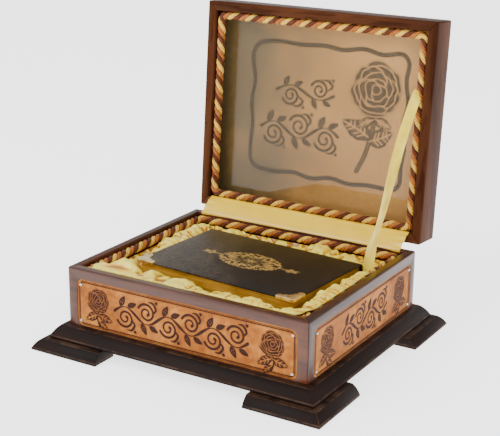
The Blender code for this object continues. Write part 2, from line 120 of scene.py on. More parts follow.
def softLight(name, place, size, power):
    lamp = bpy.data.lights.new(name, "AREA")
    lamp.size = size
    lamp.energy = power
    lampObject = linked(name, lamp)
    lampObject.location = place
    aim = Vector((0, 0, light["aimHeight"])) - Vector(place)
    lampObject.rotation_euler = aim.to_track_quat("-Z", "Y").to_euler()


softLight("keyLight", light["keyPlace"], light["keySize"], light["key"])
softLight("fillLight", light["fillPlace"], light["fillSize"], light["fill"])
world = bpy.data.worlds.new("studio")
bpy.context.scene.world = world
world.use_nodes = True
world.node_tree.nodes["Background"].inputs["Color"].default_value = (*light["worldTint"], 1)
world.node_tree.nodes["Background"].inputs["Strength"].default_value = light["world"]


# Shader helpers
def tint(code):
    # A hex colour as linear red, green and blue
    channels = [int(code[start:start + 2], 16) / 255 for start in (0, 2, 4)]
    return tuple(((c + 0.055) / 1.055) ** 2.4 if c > 0.04045 else c / 12.92 for c in channels)


class Wire:
    # A socket in a finish's nodes. Arithmetic on it adds Math nodes.
    def __init__(self, finish, socket):
        self.finish = finish
        self.socket = socket

    def math(self, operation, *others):
        return self.finish.add("ShaderNodeMath", {"operation": operation}, dict(enumerate((self, *others))))

    def __add__(self, other):
        return self.math("ADD", other)

    def __mul__(self, other):
        return self.math("MULTIPLY", other)

    def __sub__(self, other):
        return self.math("SUBTRACT", other)

    def __truediv__(self, other):
        return self.math("DIVIDE", other)

    def __rsub__(self, other):
        return (self * -1) + other

    def __abs__(self):
        return self.math("ABSOLUTE")

    __radd__ = __add__
    __rmul__ = __mul__

    def step(self, low, high):
        # 0 below low and 1 above high, smooth between
        settings = {"interpolation_type": "SMOOTHSTEP"}
        values = {"Value": self, "From Min": low, "From Max": high}
        return self.finish.add("ShaderNodeMapRange", settings, values)


class Finish:
    # One material: add() makes any node, and surface() feeds the Principled shader
    sockets = {
        "colour": "Base Color", "rough": "Roughness", "normal": "Normal", "metal": "Metallic",
        "gloss": "Specular IOR Level", "sheen": "Sheen Weight", "sheenRough": "Sheen Roughness",
        "glowTint": "Emission Color", "glow": "Emission Strength",
    }

    def __init__(self, name):
        self.material = bpy.data.materials.new(name)
        self.material.use_nodes = True
        self.tree = self.material.node_tree
        self.shader = self.tree.nodes["Principled BSDF"]
        self.place = self.add("ShaderNodeTexCoord", out="Object")

    def add(self, kind, settings=None, values=None, out=0):
        node = self.tree.nodes.new(kind)
        for key, value in (settings or {}).items():
            setattr(node, key, value)
        for key, value in (values or {}).items():
            self.put(node.inputs[key], value)
        return Wire(self, node.outputs[out])

    def put(self, socket, value):
        if isinstance(value, Wire):
            self.tree.links.new(value.socket, socket)
        elif socket.type == "RGBA":
            shown = tint(value) if isinstance(value, str) else value
            socket.default_value = (*shown, 1)
        else:
            socket.default_value = value

    def surface(self, **values):
        for key, value in values.items():
            self.put(self.shader.inputs[self.sockets[key]], value)
        return self.material

    def noise(self, scale, detail, roughness=0.55, stretch=None, distortion=0.0):
        place = self.place
        if stretch:
            place = self.add("ShaderNodeMapping", {}, {"Vector": place, "Scale": stretch})
        values = {"Vector": place, "Scale": scale, "Detail": detail, "Roughness": roughness}
        values["Distortion"] = distortion
        return self.add("ShaderNodeTexNoise", {}, values, "Fac")

    def cells(self, scale):
        values = {"Vector": self.place, "Scale": scale}
        return self.add("ShaderNodeTexVoronoi", {"feature": "DISTANCE_TO_EDGE"}, values, "Distance")

    def ramp(self, factor, stops):
        wire = self.add("ShaderNodeValToRGB", {}, {"Fac": factor}, "Color")
        elements = wire.socket.node.color_ramp.elements
        while len(elements) < len(stops):
            elements.new(0.5)
        for element, (position, code) in zip(elements, stops.items()):
            element.position = position
            element.color = (*tint(code), 1)
        return wire

    def blend(self, factor, first, second, how="MIX"):
        settings = {"data_type": "RGBA", "blend_type": how}
        return self.add("ShaderNodeMix", settings, {0: factor, 6: first, 7: second}, 2)

    def bump(self, height, distance, strength):
        values = {"Height": height, "Distance": distance, "Strength": strength}
        return self.add("ShaderNodeBump", {}, values, "Normal")

    def attribute(self, name):
        return self.add("ShaderNodeAttribute", {"attribute_name": name}, {}, "Fac")

    def axes(self, vector=None):
        node = self.add("ShaderNodeSeparateXYZ", {}, {"Vector": vector or self.place}).socket.node
        return [Wire(self, output) for output in node.outputs]


# Wood
walnut = {
    "dark": "260e05", "middle": "4a230f", "light": "6a381b", "roughness": 0.34, "gloss": 0.42,
    "poreShade": (0.62, 0.58, 0.56),
}
lidWalnut = dict(walnut, dark="2a140a", middle="4e2c1a", light="70482c", gloss=0.02)
ebony = {
    # The pale tone of the lips and mitres is a painted highlight on the arrises, mixed with wear
    "dark": "0e0604", "light": "24120b", "wornAndHighlit": "5f4433", "roughness": 0.5, "gloss": 0.12,
    "lips": ((0.0034, 0.0011), (0.0137, 0.0008), (0.0177, 0.0011), (0.0306, 0.0008)),   # height, width
}
board = {"dark": "4a3222", "light": "6e4e36", "roughness": 0.65}


def walnutFinish(name, stretch, wood):
    finish = Finish(name)
    figure = finish.noise(14, 5, 0.6, stretch, 0.6)
    pores = finish.noise(170, 3, 0.6, stretch)
    colour = finish.ramp(figure, {0.30: wood["dark"], 0.52: wood["middle"], 0.75: wood["light"]})
    speck = pores.step(0.36, 0.48)
    shaded = finish.blend(1.0, colour, wood["poreShade"], "MULTIPLY")
    colour = finish.blend(speck, shaded, colour)
    rough = finish.noise(9, 3) * 0.16 + (wood["roughness"] - 0.07)
    normal = finish.bump(speck * 0.6 + figure, 0.00008, 0.5)
    return finish.surface(colour=colour, rough=rough, normal=normal, gloss=wood["gloss"])


def ebonyFinish():
    # Near-black moulding whose lips and mitres are painted pale: a painted highlight on the arrises, mixed
    # with rubbed wear
    finish = Finish("ebonyMoulding")
    x, y, z = finish.axes()
    grainX = finish.noise(60, 4, 0.65, (0.12, 1, 1))
    grainY = finish.noise(60, 4, 0.65, (1, 0.12, 1))
    reachX = abs(x) - halfWidth
    reachY = abs(y - middleY) - halfDepth
    alongY = (reachX - reachY).step(-0.0005, 0.0005)
    grain = grainX * (1 - alongY) + grainY * alongY
    colour = finish.ramp(grain, {0.32: ebony["dark"], 0.72: ebony["light"]})
    # Pale bands at the lips and mitres: painted highlight along the arrises together with rubbed wear, broken
    # up by noise
    wearAndHighlight = 0
    for height, width in ebony["lips"]:
        wearAndHighlight = wearAndHighlight + (1 - abs(z - height).step(0.0, width))
    mitre = 1 - abs(reachX - reachY).step(0.0, 0.0011)
    rub = finish.noise(38, 4, 0.7)
    wearAndHighlight = ((wearAndHighlight + mitre * 0.9) * rub.step(0.34, 0.62)).math("MINIMUM", 1.0)
    colour = finish.blend(wearAndHighlight * 0.6, colour, ebony["wornAndHighlit"])
    normal = finish.bump(grain, 0.00015, 0.6)
    rough = grain * 0.25 + (ebony["roughness"] - 0.1)
    return finish.surface(colour=colour, rough=rough, normal=normal, gloss=ebony["gloss"])


def boardFinish():
    finish = Finish("plainBoard")
    grain = finish.noise(20, 5, 0.6, (0.15, 1, 1))
    colour = finish.ramp(grain, {0.3: board["dark"], 0.7: board["light"]})
    return finish.surface(colour=colour, rough=board["roughness"], normal=finish.bump(grain, 0.0002, 0.5))


walnutAlongX = walnutFinish("walnutAlongX", (0.10, 1, 1), walnut)
walnutAlongY = walnutFinish("walnutAlongY", (1, 0.10, 1), walnut)
lidWalnutAlongX = walnutFinish("lidWalnutAlongX", (0.10, 1, 1), lidWalnut)
lidWalnutAlongZ = walnutFinish("lidWalnutAlongZ", (1, 1, 0.10), lidWalnut)
ebonyMoulding = ebonyFinish()
plainBoard = boardFinish()

# Metal and glass
metals = {
    "nickelPlate": {"light": "d8d2c4", "dark": "8d867a", "roughness": 0.26, "grain": 300},
    "brassPlate": {"light": "c9a35a", "dark": "7d5f2d", "roughness": 0.3, "grain": 120},
    "gildedMetal": {"light": "f4e2ae", "dark": "c9a564", "roughness": 0.30, "grain": 160},
}
glass = {"mirrorTint": (0.4, 0.4, 0.4), "paneTint": (0.95, 0.97, 0.96), "mirror": 0.6, "least": 0.03}


def metalFinish(name):
    metal = metals[name]
    finish = Finish(name)
    tarnish = finish.noise(metal["grain"], 4, 0.6)
    colour = finish.ramp(tarnish, {0.35: metal["dark"], 0.62: metal["light"]})
    normal = finish.bump(finish.noise(metal["grain"] * 8, 2), 0.00003, 0.4)
    rough = tarnish * 0.25 + (metal["roughness"] - 0.1)
    return finish.surface(colour=colour, metal=1.0, rough=rough, normal=normal)


nickel = metalFinish("nickelPlate")
brass = metalFinish("brassPlate")
gildedMetal = metalFinish("gildedMetal")


def glassFinish():
    # A clear pane: it lets the picture through and mirrors by angle
    finish = Finish("pictureGlass")
    smear = finish.noise(7, 3)
    finish.surface(colour=glass["mirrorTint"], metal=1.0, rough=smear * 0.02 + 0.02)
    facing = finish.add("ShaderNodeLayerWeight", {}, {"Blend": 0.5}, "Facing")
    mirror = facing.math("POWER", 5) * glass["mirror"] + glass["least"]
    clear = finish.add("ShaderNodeBsdfTransparent", {}, {"Color": glass["paneTint"]})
    shine = Wire(finish, finish.shader.outputs[0])
    mixed = finish.add("ShaderNodeMixShader", {}, {0: mirror, 1: clear, 2: shine})
    finish.put(finish.tree.nodes["Material Output"].inputs["Surface"], mixed)
    return finish.material


pictureGlass = glassFinish()


# Carried-over CAD nodes
def selectOnly(*pieces):
    bpy.ops.object.select_all(action="DESELECT")
    for piece in pieces:
        piece.select_set(True)
    bpy.context.view_layer.objects.active = pieces[0]


def setFinish(piece, material):
    piece.data.materials.clear()
    piece.data.materials.append(material)


def applyModifier(piece, kind, **settings):
    modifier = piece.modifiers.new(kind.lower(), kind)
    for key, value in settings.items():
        setattr(modifier, key, value)
    selectOnly(piece)
    bpy.ops.object.modifier_apply(modifier=modifier.name)


def dress(piece, degrees, material):
    # Smooth shading up to an angle, and the finish
    selectOnly(piece)
    bpy.ops.object.shade_smooth_by_angle(angle=math.radians(degrees))
    setFinish(piece, material)


def enter(piece, body, slot, *nodes):
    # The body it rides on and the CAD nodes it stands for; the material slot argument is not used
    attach(piece, body)
    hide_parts(*nodes)


def softenNode(node, name, body, slot, material, bevel):
    # A copy of a CAD node with its loose triangles merged and its arrises eased
    piece = frame["nodes"][node].copy()
    piece.data = frame["nodes"][node].data.copy()
    piece.name = name
    piece.parent = None
    for key in list(piece.keys()):
        del piece[key]
    bpy.context.scene.collection.objects.link(piece)
    selectOnly(piece)
    bpy.ops.object.mode_set(mode="EDIT")
    bpy.ops.mesh.select_all(action="SELECT")
    bpy.ops.mesh.remove_doubles(threshold=0.00001)
    bpy.ops.mesh.dissolve_limited(angle_limit=math.radians(1))
    bpy.ops.object.mode_set(mode="OBJECT")
    settings = {"limit_method": "ANGLE", "angle_limit": math.radians(40), "harden_normals": False}
    applyModifier(piece, "BEVEL", width=bevel, segments=2, **settings)
    dress(piece, 35, material)
    enter(piece, body, slot, node)


for side in ("front", "rear", "left", "right"):
    alongX = side in ("front", "rear")
    wallGrain = walnutAlongX if alongX else walnutAlongY
    lidGrain = lidWalnutAlongX if alongX else lidWalnutAlongZ
    softenNode(f"wall_{side}", f"wallShell_{side}", "box", "walnut", wallGrain, 0.0004)
    softenNode(f"plinth_{side}", f"plinthRail_{side}", "box", "ebony", ebonyMoulding, 0.0004)
    softenNode(f"lid_rail_{side}", f"lidRail_{side}", "lid", "walnut", lidGrain, 0.0004)
for end in ("front", "rear"):
    for hand in ("left", "right"):
        softenNode(f"foot_{end}_{hand}", f"cornerFoot_{end}_{hand}", "box", "ebony", ebonyMoulding, 0.0005)
for node, piece in frame["nodes"].items():
    if "_tack_" in node:
        setFinish(piece, nickel)
    elif node.startswith("hinge_") and node != "hinge_flap":
        setFinish(piece, brass)
    elif node in ("floor_board", "lid_board"):
        setFinish(piece, plainBoard)
setFinish(frame["nodes"]["lid_glass"], pictureGlass)
print("woodwork finished")

# Tooled leather
leather = {
    "cell": 0.0005, "groove": 0.00045, "corner": 0.008, "borderInset": 0.0036,
    "dark": "7c400e", "middle": "9e5c1e", "light": "bd7c36", "burn": "2e0f03", "singe": "7a4520",
    "roughness": 0.52,
}
picture = {
    "cell": 0.00094, "groove": 0.0004, "left": "6a5436", "middle": "bd8446", "light": "d89b58",
    "burn": "44321a", "nap": "8a6a44", "roughness": 0.88,
    "showX": 0.1455, "showLow": 0.024, "showHigh": 0.264,      # what the cord leaves in view
}


def splineSpot(before, here, there, after, share):
    return 0.5 * (
        2 * here + (there - before) * share + (2 * before - 5 * here + 4 * there - after) * share ** 2
        + (3 * here - before - 3 * there + after) * share ** 3
    )


def smoothStep(low, high, value):
    share = np.clip((value - low) / (high - low), 0, 1)
    return share * share * (3 - 2 * share)


def curveThrough(points, steps=10):
    # A smooth line through points of (x, y, half width)
    knots = np.array([points[0], *points, points[-1]], float)
    line = []
    for index in range(1, len(knots) - 2):
        for share in np.arange(steps) / steps:
            line.append(splineSpot(*knots[index - 1:index + 3], share))
    return np.array(line + [knots[-1]])


def turned(x, y, angle, out, wide):
    # Points given along and across a direction from x, y
    turn = math.radians(angle)
    across = x + out * math.cos(turn) - wide * math.sin(turn)
    up = y + out * math.sin(turn) + wide * math.cos(turn)
    return np.column_stack([across, up])


def curl(x, y, radius, start, turns, width, steps=34):
    # A spiral that ends in a bud
    share = np.linspace(0, 1, steps + 1)
    angles = math.radians(start) + 2 * np.pi * turns * share
    reach = radius * (1 - 0.78 * share)
    wide = width * (1 - 0.45 * share)
    wide[-3:] = width * 1.15
    return np.column_stack([x + reach * np.cos(angles), y + reach * np.sin(angles), wide])


def leafLines(x, y, angle, length, breadth, width, veins):
    share = np.linspace(0, 1, 13)
    lines = []
    for side in (-1, 1):
        bulge = side * breadth * np.sin(np.pi * share ** 0.8)
        spots = turned(x, y, angle, length * share, bulge)
        lines.append(np.column_stack([spots, np.full(13, width)]))
        for vein in range(1, veins + 1):
            root = length * vein / (veins + 1.6)
            out, wide = np.array([root, root + length * 0.17]), np.array([0, side * breadth * 0.7])
            ends = turned(x, y, angle, out, wide)
            lines.append(np.column_stack([ends, [width * 0.6, width * 0.4]]))
    spots = turned(x, y, angle, np.array([0, length * 0.92]), np.zeros(2))
    lines.append(np.column_stack([spots, [width, width * 0.5]]))
    return lines


def petalShape(x, y, radius, angle, stretch, seed):
    # A petal's wavy outline, broad across and dented at its lip
    around = np.linspace(0, 2 * np.pi, 41)
    reach = 1 + 0.05 * np.sin(3 * around + seed) + 0.03 * np.sin(7 * around + 2 * seed)
    reach = reach - 0.10 * np.exp(-((np.abs(around - np.pi) - np.pi) / 0.30) ** 2)
    return turned(x, y, angle, radius * reach * np.cos(around), radius * reach * stretch * np.sin(around))


# Each ring of a rose: how far out, petal size, petals, first angle, breadth
roseRings = (
    (0.50, 0.47, 6, 12, 1.10), (0.40, 0.42, 5, 40, 1.20), (0.27, 0.35, 4, 5, 1.25), (0.15, 0.26, 3, 60, 1.20),
)


def roseShapes(x, y, radius, line, lean=0):
    # A rose in front view, its petals laid on each other from the outside in
    shapes = []
    for ring, (away, size, count, start, stretch) in enumerate(roseRings):
        for petal in range(count):
            angle = lean + start + 360 * petal / count + 9 * math.sin(3.1 * petal + ring)
            spot = math.radians(angle)
            grow = size * (1 + 0.08 * math.sin(2.3 * petal + 1.7 * ring))
            petalX = x + radius * away * math.cos(spot)
            petalY = y + radius * away * math.sin(spot)
            outline = petalShape(petalX, petalY, radius * grow, angle, stretch, petal + ring)
            if ring == 0:
                shapes.append((outline, 1.0, 1.0, line + 0.0005))
            shapes.append((outline, 0.85, 0.05, line))
    shapes.append((petalShape(x, y, radius * 0.17, lean, 1.0, 2), 0.8, 0.05, line))
    return shapes


def leafShapes(x, y, angle, length, breadth, line, veins=4):
    turn = math.radians(angle)
    along, across = np.array([math.cos(turn), math.sin(turn)]), np.array([-math.sin(turn), math.cos(turn)])
    share = np.linspace(0, 1, 15)
    bulge = breadth * np.sin(np.pi * share ** 0.85) * (1 + 0.05 * np.sin(24 * share))
    bend = 0.12 * length * share ** 2
    upper, lower, middle = [turned(x, y, angle, length * share, bend + off) for off in (bulge, -bulge, 0)]
    outline = np.vstack([upper, lower[::-1]])
    shapes = [(outline, 1.0, 1.0, line), (outline, 0.70, 0.9, line * 0.5), (middle, None, 0.05, line * 0.5)]
    for vein in range(1, veins + 1):
        for side in (-1, 1):
            root = middle[round(14 * vein / (veins + 1.4))]
            tip = root + along * length * 0.15 + across * side * breadth * 0.75
            shapes.append((np.array([root, tip]), None, 0.05, line * 0.35))
    return shapes


def budShapes(x, y, size, line, flip=1):
    # A rosebud on a short leafy stem
    bends = ((0, 0.1), (0.04, 0.3), (-0.02, 0.5))
    stem = curveThrough([(x + flip * size * out, y - size * down, 1) for out, down in bends])
    shapes = [(stem[:, :2], None, 1.0, line * 1.5)]
    for angle in (200, -22):
        shapes += leafShapes(x, y - size * 0.20, angle, size * 0.42, size * 0.10, line * 0.8, 3)
    lowX, lowAngle = x - flip * size * 0.01, 90 + 125 * flip
    shapes += leafShapes(lowX, y - size * 0.38, lowAngle, size * 0.3, size * 0.07, line * 0.7, 2)
    for angle in (150, 30, 110, 70):
        shapes += leafShapes(x, y - size * 0.12, angle, size * 0.36, size * 0.08, line * 0.6, 0)
    return shapes + roseShapes(x, y + size * 0.15, size * 0.31, line * 0.2, 25 * flip)


def scrollLines(x, y, width, height, waves, stroke):
    # A leafy vine that winds along a band, with a curl in each bend
    step = width / waves
    share = np.linspace(0, 1, 30 * waves + 1)
    swing = height * 0.17
    lines = [np.column_stack([
        x - width / 2 + width * share, y + swing * np.sin(np.pi * waves * share),
        stroke * (0.75 + 0.45 * np.cos(2 * np.pi * waves * share)),
    ])]
    for bend in range(waves):
        side = 1 if bend % 2 == 0 else -1
        middle = x - width / 2 + step * (bend + 0.5)
        radius = min(step * 0.40, height * 0.29)
        start = 205 if side > 0 else 155
        lines.append(curl(middle, y - side * swing * 0.75, radius, start, side * 1.55, stroke))
        for off, rise, angle, length, breadth in ((-0.22, 1.1, 62, 0.27, 0.06), (0.16, 1.2, 24, 0.24, 0.05)):
            leafX, leafY = middle + step * off, y + side * swing * rise
            lines += leafLines(leafX, leafY, side * angle, height * length, height * breadth, stroke * 0.7, 1)
        tipX, tip = middle + step * 0.46, y - side * height * 0.44
        lines.append(np.array([[tipX, tip, stroke * 1.5], [tipX, tip + side * 0.0012, stroke * 0.6]]))
        hook = (
            (0.30, swing * 0.9, 0.5), (0.44, height * 0.27, 1),
            (0.30, height * 0.42, 0.9), (0.10, height * 0.43, 0.3),
        )
        spots = [(middle + step * off, y - side * drop, stroke * wide) for off, drop, wide in hook]
        lines.append(curveThrough(spots))
    return lines


def borderLine(width, height, inset, corner, half, wave=0.0, count=14):
    # A closed rounded rectangle, wavy where a wave height is given
    x, y, radius = width / 2 - inset, height / 2 - inset, max(corner - inset, 0.002)
    spots = []
    for quarter, (signX, signY) in enumerate(((1, 1), (-1, 1), (-1, -1), (1, -1))):
        centreX, centreY = signX * (x - radius), signY * (y - radius)
        for angle in np.radians(np.linspace(90 * quarter, 90 * quarter + 90, 9)):
            spots.append((centreX + radius * math.cos(angle), centreY + radius * math.sin(angle)))
    spots = np.array(spots + spots[:1])
    runs = np.concatenate([[0], np.cumsum(np.hypot(*np.diff(spots, axis=0).T))])
    even = np.linspace(0, runs[-1], 240)
    line = np.column_stack([np.interp(even, runs, spots[:, 0]), np.interp(even, runs, spots[:, 1])])
    run = np.gradient(line, axis=0)
    side = np.column_stack([run[:, 1], -run[:, 0]]) / np.maximum(np.hypot(*run.T), 1e-9)[:, None]
    unevenness = 1 + 0.6 * np.sin(7.3 * even / runs[-1] * 3)
    line = line + side * (wave * np.sin(2 * np.pi * count * even / runs[-1]) * unevenness)[:, None]
    return np.column_stack([line, np.full(len(line), half)])


def pressLines(across, up, lines, soft):
    # How far each point of a grid lies inside the lines, 0 to 1
    field = np.zeros((len(up), len(across)))
    for line in lines:
        for (x0, y0, w0), (x1, y1, w1) in zip(line[:-1], line[1:]):
            reach = max(w0, w1) + soft
            columns = slice(*np.searchsorted(across, (min(x0, x1) - reach, max(x0, x1) + reach)))
            rows = slice(*np.searchsorted(up, (min(y0, y1) - reach, max(y0, y1) + reach)))
            x, y = np.meshgrid(across[columns], up[rows])
            if not x.size:
                continue
            dx, dy = x1 - x0, y1 - y0
            share = np.clip(((x - x0) * dx + (y - y0) * dy) / max(dx * dx + dy * dy, 1e-12), 0, 1)
            away = np.hypot(x - x0 - share * dx, y - y0 - share * dy) - (w0 + (w1 - w0) * share)
            field[rows, columns] = np.maximum(field[rows, columns], 1 - smoothStep(-soft * 0.4, soft, away))
    return field


def insideOf(outline, across, up):
    # Which points of a grid lie inside a closed outline
    x, y = np.meshgrid(across, up)
    inside = np.zeros(x.shape, bool)
    for (x0, y0), (x1, y1) in zip(outline, np.roll(outline, -1, axis=0)):
        if y0 != y1:
            crosses = (y0 > y) != (y1 > y)
            inside ^= crosses & (x < (x1 - x0) * (y - y0) / (y1 - y0) + x0)
    return inside


def pressShapes(field, across, up, shapes, soft):
    # Each shape covers what lies under it: its fill first and then its edge
    for outline, fill, edge, half in shapes:
        low, high = outline.min(0) - half - soft, outline.max(0) + half + soft
        columns = slice(*np.searchsorted(across, (low[0], high[0])))
        rows = slice(*np.searchsorted(up, (low[1], high[1])))
        patch = field[rows, columns]
        path = outline
        if fill is not None:
            patch = np.where(insideOf(outline, across[columns], up[rows]), fill, patch)
            path = np.vstack([outline, outline[:1]])
        line = np.column_stack([path, np.full(len(path), half)])
        share = pressLines(across[columns], up[rows], [line], soft)
        field[rows, columns] = patch + (edge - patch) * share
    return field


def spanIn(node, place):
    back = place.inverted()
    spots = np.array([back @ vertex.co for vertex in frame["nodes"][node].data.vertices])
    return spots.min(0), spots.max(0)


def setPointValues(piece, name, values):
    layer = piece.data.attributes.new(name, "FLOAT", "POINT")
    layer.data.foreach_set("value", values.astype(np.float32))


def madeBy(operator, name, **settings):
    # The piece that a mesh operator adds
    bpy.ops.object.select_all(action="DESELECT")
    operator(**settings)
    bpy.context.object.name = name
    return bpy.context.object


def extrude(depth):
    bpy.ops.mesh.extrude_region_move(TRANSFORM_OT_translate={"value": (0, 0, depth)})


def tooledSlab(name, node, body, slot, place, drawn, style, material, corner=0.0, window=None):
    # A slab of leather over its CAD node, its face pressed in along the lines
    low, high = spanIn(node, place)
    width, height, thick = high - low
    centre = (low + high) / 2
    showWide, showHigh, shiftY = (width, height, 0) if window is None else window
    columns, rows = round(showWide / style["cell"]), round(showHigh / style["cell"])
    piece = madeBy(bpy.ops.mesh.primitive_grid_add, name, x_subdivisions=columns, y_subdivisions=rows, size=1)
    bpy.ops.object.mode_set(mode="EDIT")
    bpy.ops.mesh.select_all(action="DESELECT")
    bpy.ops.mesh.select_mode(type="EDGE")
    bpy.ops.mesh.select_non_manifold()
    extrude(-1)
    bpy.ops.mesh.edge_face_add()
    bpy.ops.object.mode_set(mode="OBJECT")
    count = len(piece.data.vertices)
    spots = np.zeros(count * 3)
    piece.data.vertices.foreach_get("co", spots)
    spots = spots.reshape(-1, 3)
    column = np.rint((spots[:, 0] + 0.5) * columns).astype(int)
    row = np.rint((spots[:, 1] + 0.5) * rows).astype(int)
    across = (np.arange(columns + 1) / columns - 0.5) * showWide
    up = (np.arange(rows + 1) / rows - 0.5) * showHigh + shiftY
    lines, shapes = drawn
    soft = max(0.0005, style["cell"])
    pressed = pressShapes(pressLines(across, up, lines, soft), across, up, shapes, soft)
    rims = []
    for outline, fill, edge, half in shapes:
        if edge == 1.0:
            rims.append(np.column_stack([outline, np.full(len(outline), half)]))
    singed = pressLines(across, up, lines + rims, 0.0022)
    x, y = across[column], up[row]
    if window is not None:                       # the hidden rim reaches out to the slab's edge
        x = np.where(column == 0, -width / 2, np.where(column == columns, width / 2, x))
        y = np.where(row == 0, -height / 2, np.where(row == rows, height / 2, y))
    if corner:                                   # the square corners are drawn in to a round
        a = np.clip((np.abs(x) - width / 2 + corner) / corner, 0, 1)
        b = np.clip((np.abs(y) - height / 2 + corner) / corner, 0, 1)
        pull = np.maximum(a, b) / np.maximum(np.hypot(a, b), 1e-9)
        both = (a > 0) & (b > 0)
        x = np.where(both, np.sign(x) * (width / 2 - corner + a * pull * corner), x)
        y = np.where(both, np.sign(y) * (height / 2 - corner + b * pull * corner), y)
    front = spots[:, 2] > -0.5
    edge = (column == 0) | (column == columns) | (row == 0) | (row == rows)
    press = pressed[row, column]
    swell = 0.00012 * np.sin(x * 90 + 1.3) * np.sin(y * 120)
    z = np.where(front, -0.0001 - style["groove"] * press - np.where(edge, 0.0003, 0) + swell, -thick)
    spots = np.column_stack([x, y, z])
    piece.data.vertices.foreach_set("co", spots.ravel())
    setPointValues(piece, "tooling", np.where(front, press, 0))
    setPointValues(piece, "singe", np.where(front, singed[row, column], 0))
    piece.data.transform(place @ Matrix.Translation((centre[0], centre[1], high[2])))
    piece.data.update()
    dress(piece, 50, material)
    enter(piece, body, slot, node)


def leatherFinish():
    finish = Finish("tooledLeather")
    cloud = finish.noise(26, 5, 0.6)
    mottle = finish.noise(120, 4, 0.65)
    stops = {0.36: leather["dark"], 0.50: leather["middle"], 0.64: leather["light"]}
    colour = finish.ramp(cloud * 0.62 + mottle * 0.38, stops)
    colour = finish.blend(finish.attribute("singe") * 0.38, colour, leather["singe"])
    colour = finish.blend(finish.attribute("tooling").step(0.15, 0.8), colour, leather["burn"])
    pores = finish.cells(1300).step(0.0, 0.12)
    normal = finish.bump(pores * 0.5 + finish.noise(420, 3, 0.6), 0.00012, 0.55)
    rough = mottle * 0.3 + (leather["roughness"] - 0.12)
    return finish.surface(colour=colour, rough=rough, normal=normal, gloss=0.15)


def suedeFinish():
    # Brushed leather that runs from grey-green on the left to tan on the right
    finish = Finish("brushedSuede")
    x = finish.axes()[0]
    cloud = finish.noise(11, 4, 0.6)
    nap = finish.noise(170, 5, 0.7)
    drift = x * 3.1 + 0.42 + (cloud - 0.5) * 0.9
    colour = finish.ramp(drift, {0.05: picture["left"], 0.45: picture["middle"], 0.85: picture["light"]})
    colour = finish.blend(nap.step(0.3, 0.7) * 0.35, colour, picture["nap"])
    colour = finish.blend(finish.attribute("singe") * 0.22, colour, picture["burn"])
    colour = finish.blend(finish.attribute("tooling").step(0.2, 0.8) * 0.9, colour, picture["burn"])
    normal = finish.bump(nap, 0.0002, 0.5)
    return finish.surface(colour=colour, rough=picture["roughness"], normal=normal, gloss=0.05)


tooledLeather = leatherFinish()
brushedSuede = suedeFinish()

outwards = {"front": (0, -1, 0), "left": (-1, 0, 0), "right": (1, 0, 0)}
for side, out in outwards.items():
    place = wallFrame(out, 0, 0)
    low, high = spanIn(f"panel_{side}", place)
    width, height = high[0] - low[0], high[1] - low[1]
    inset, corner = leather["borderInset"], leather["corner"]
    lines = [borderLine(width, height, inset, corner, 0.00055)]
    lines.append(borderLine(width, height, inset - 0.0018, corner, 0.0002))
    budX = width / 2 - 0.032
    shapes = []
    for sign in (-1, 1):
        shapes += budShapes(sign * budX, -0.0005, 0.052, 0.0006, sign)
    if side == "front":
        lines += scrollLines(-0.004, 0, 0.190, 0.049, 6, 0.00145)
    else:
        lines += scrollLines(0, 0, 0.120, 0.047, 4, 0.0015)
    drawn = (lines, shapes)
    name = f"leatherPanel_{side}"
    tooledSlab(name, f"panel_{side}", "box", "tooled_leather", place, drawn, leather, tooledLeather, corner)

# The picture in the lid, drawn with x to the right and y up from the middle of the lid
picturePlace = lidSeat @ Matrix(((1, 0, 0), (0, -1, 0), (0, 0, -1))).to_4x4()
frameLine = borderLine(0.231, 0.179, 0, 0.016, 0.0027, 0.0016, 13)
frameLine[:, 0] += 0.0085
frameLine[:, 1] += 0.1495 - halfDepth
pictureLines = [frameLine]
roseX, roseY = 0.080, 0.190 - halfDepth
stemBends = ((0.002, -0.028), (-0.002, -0.055), (-0.010, -0.088), (-0.021, -0.112))
stem = curveThrough([(roseX + x, roseY + y, 1) for x, y in stemBends])
pictureShapes = [(stem[:, :2], None, 1.0, 0.0030), (stem[:, :2], None, 0.65, 0.0018)]
for x, y, angle, length, breadth in (
    (-0.004, -0.066, 148, 0.046, 0.012), (-0.006, -0.070, 18, 0.036, 0.011),
    (-0.001, -0.040, 200, 0.024, 0.005), (0.001, -0.038, -30, 0.026, 0.006),
):
    pictureShapes += leafShapes(roseX + x, roseY + y, angle, length, breadth, 0.0012)
pictureShapes += roseShapes(roseX, roseY, 0.039, 0.0005, 12)
scrollX, scrollY = -0.032, 0.150 - halfDepth
pictureLines += scrollLines(scrollX, scrollY - 0.030, 0.120, 0.056, 3, 0.0016)
pictureLines += scrollLines(scrollX + 0.006, scrollY + 0.024, 0.088, 0.046, 2, 0.0015)
windowMiddle = (picture["showLow"] + picture["showHigh"]) / 2 - halfDepth
window = (2 * picture["showX"], picture["showHigh"] - picture["showLow"], windowMiddle)
drawn = (pictureLines, pictureShapes)
node = "lid_picture_leather"
tooledSlab("lidPicture", node, "lid", "suede", picturePlace, drawn, picture, brushedSuede, window=window)

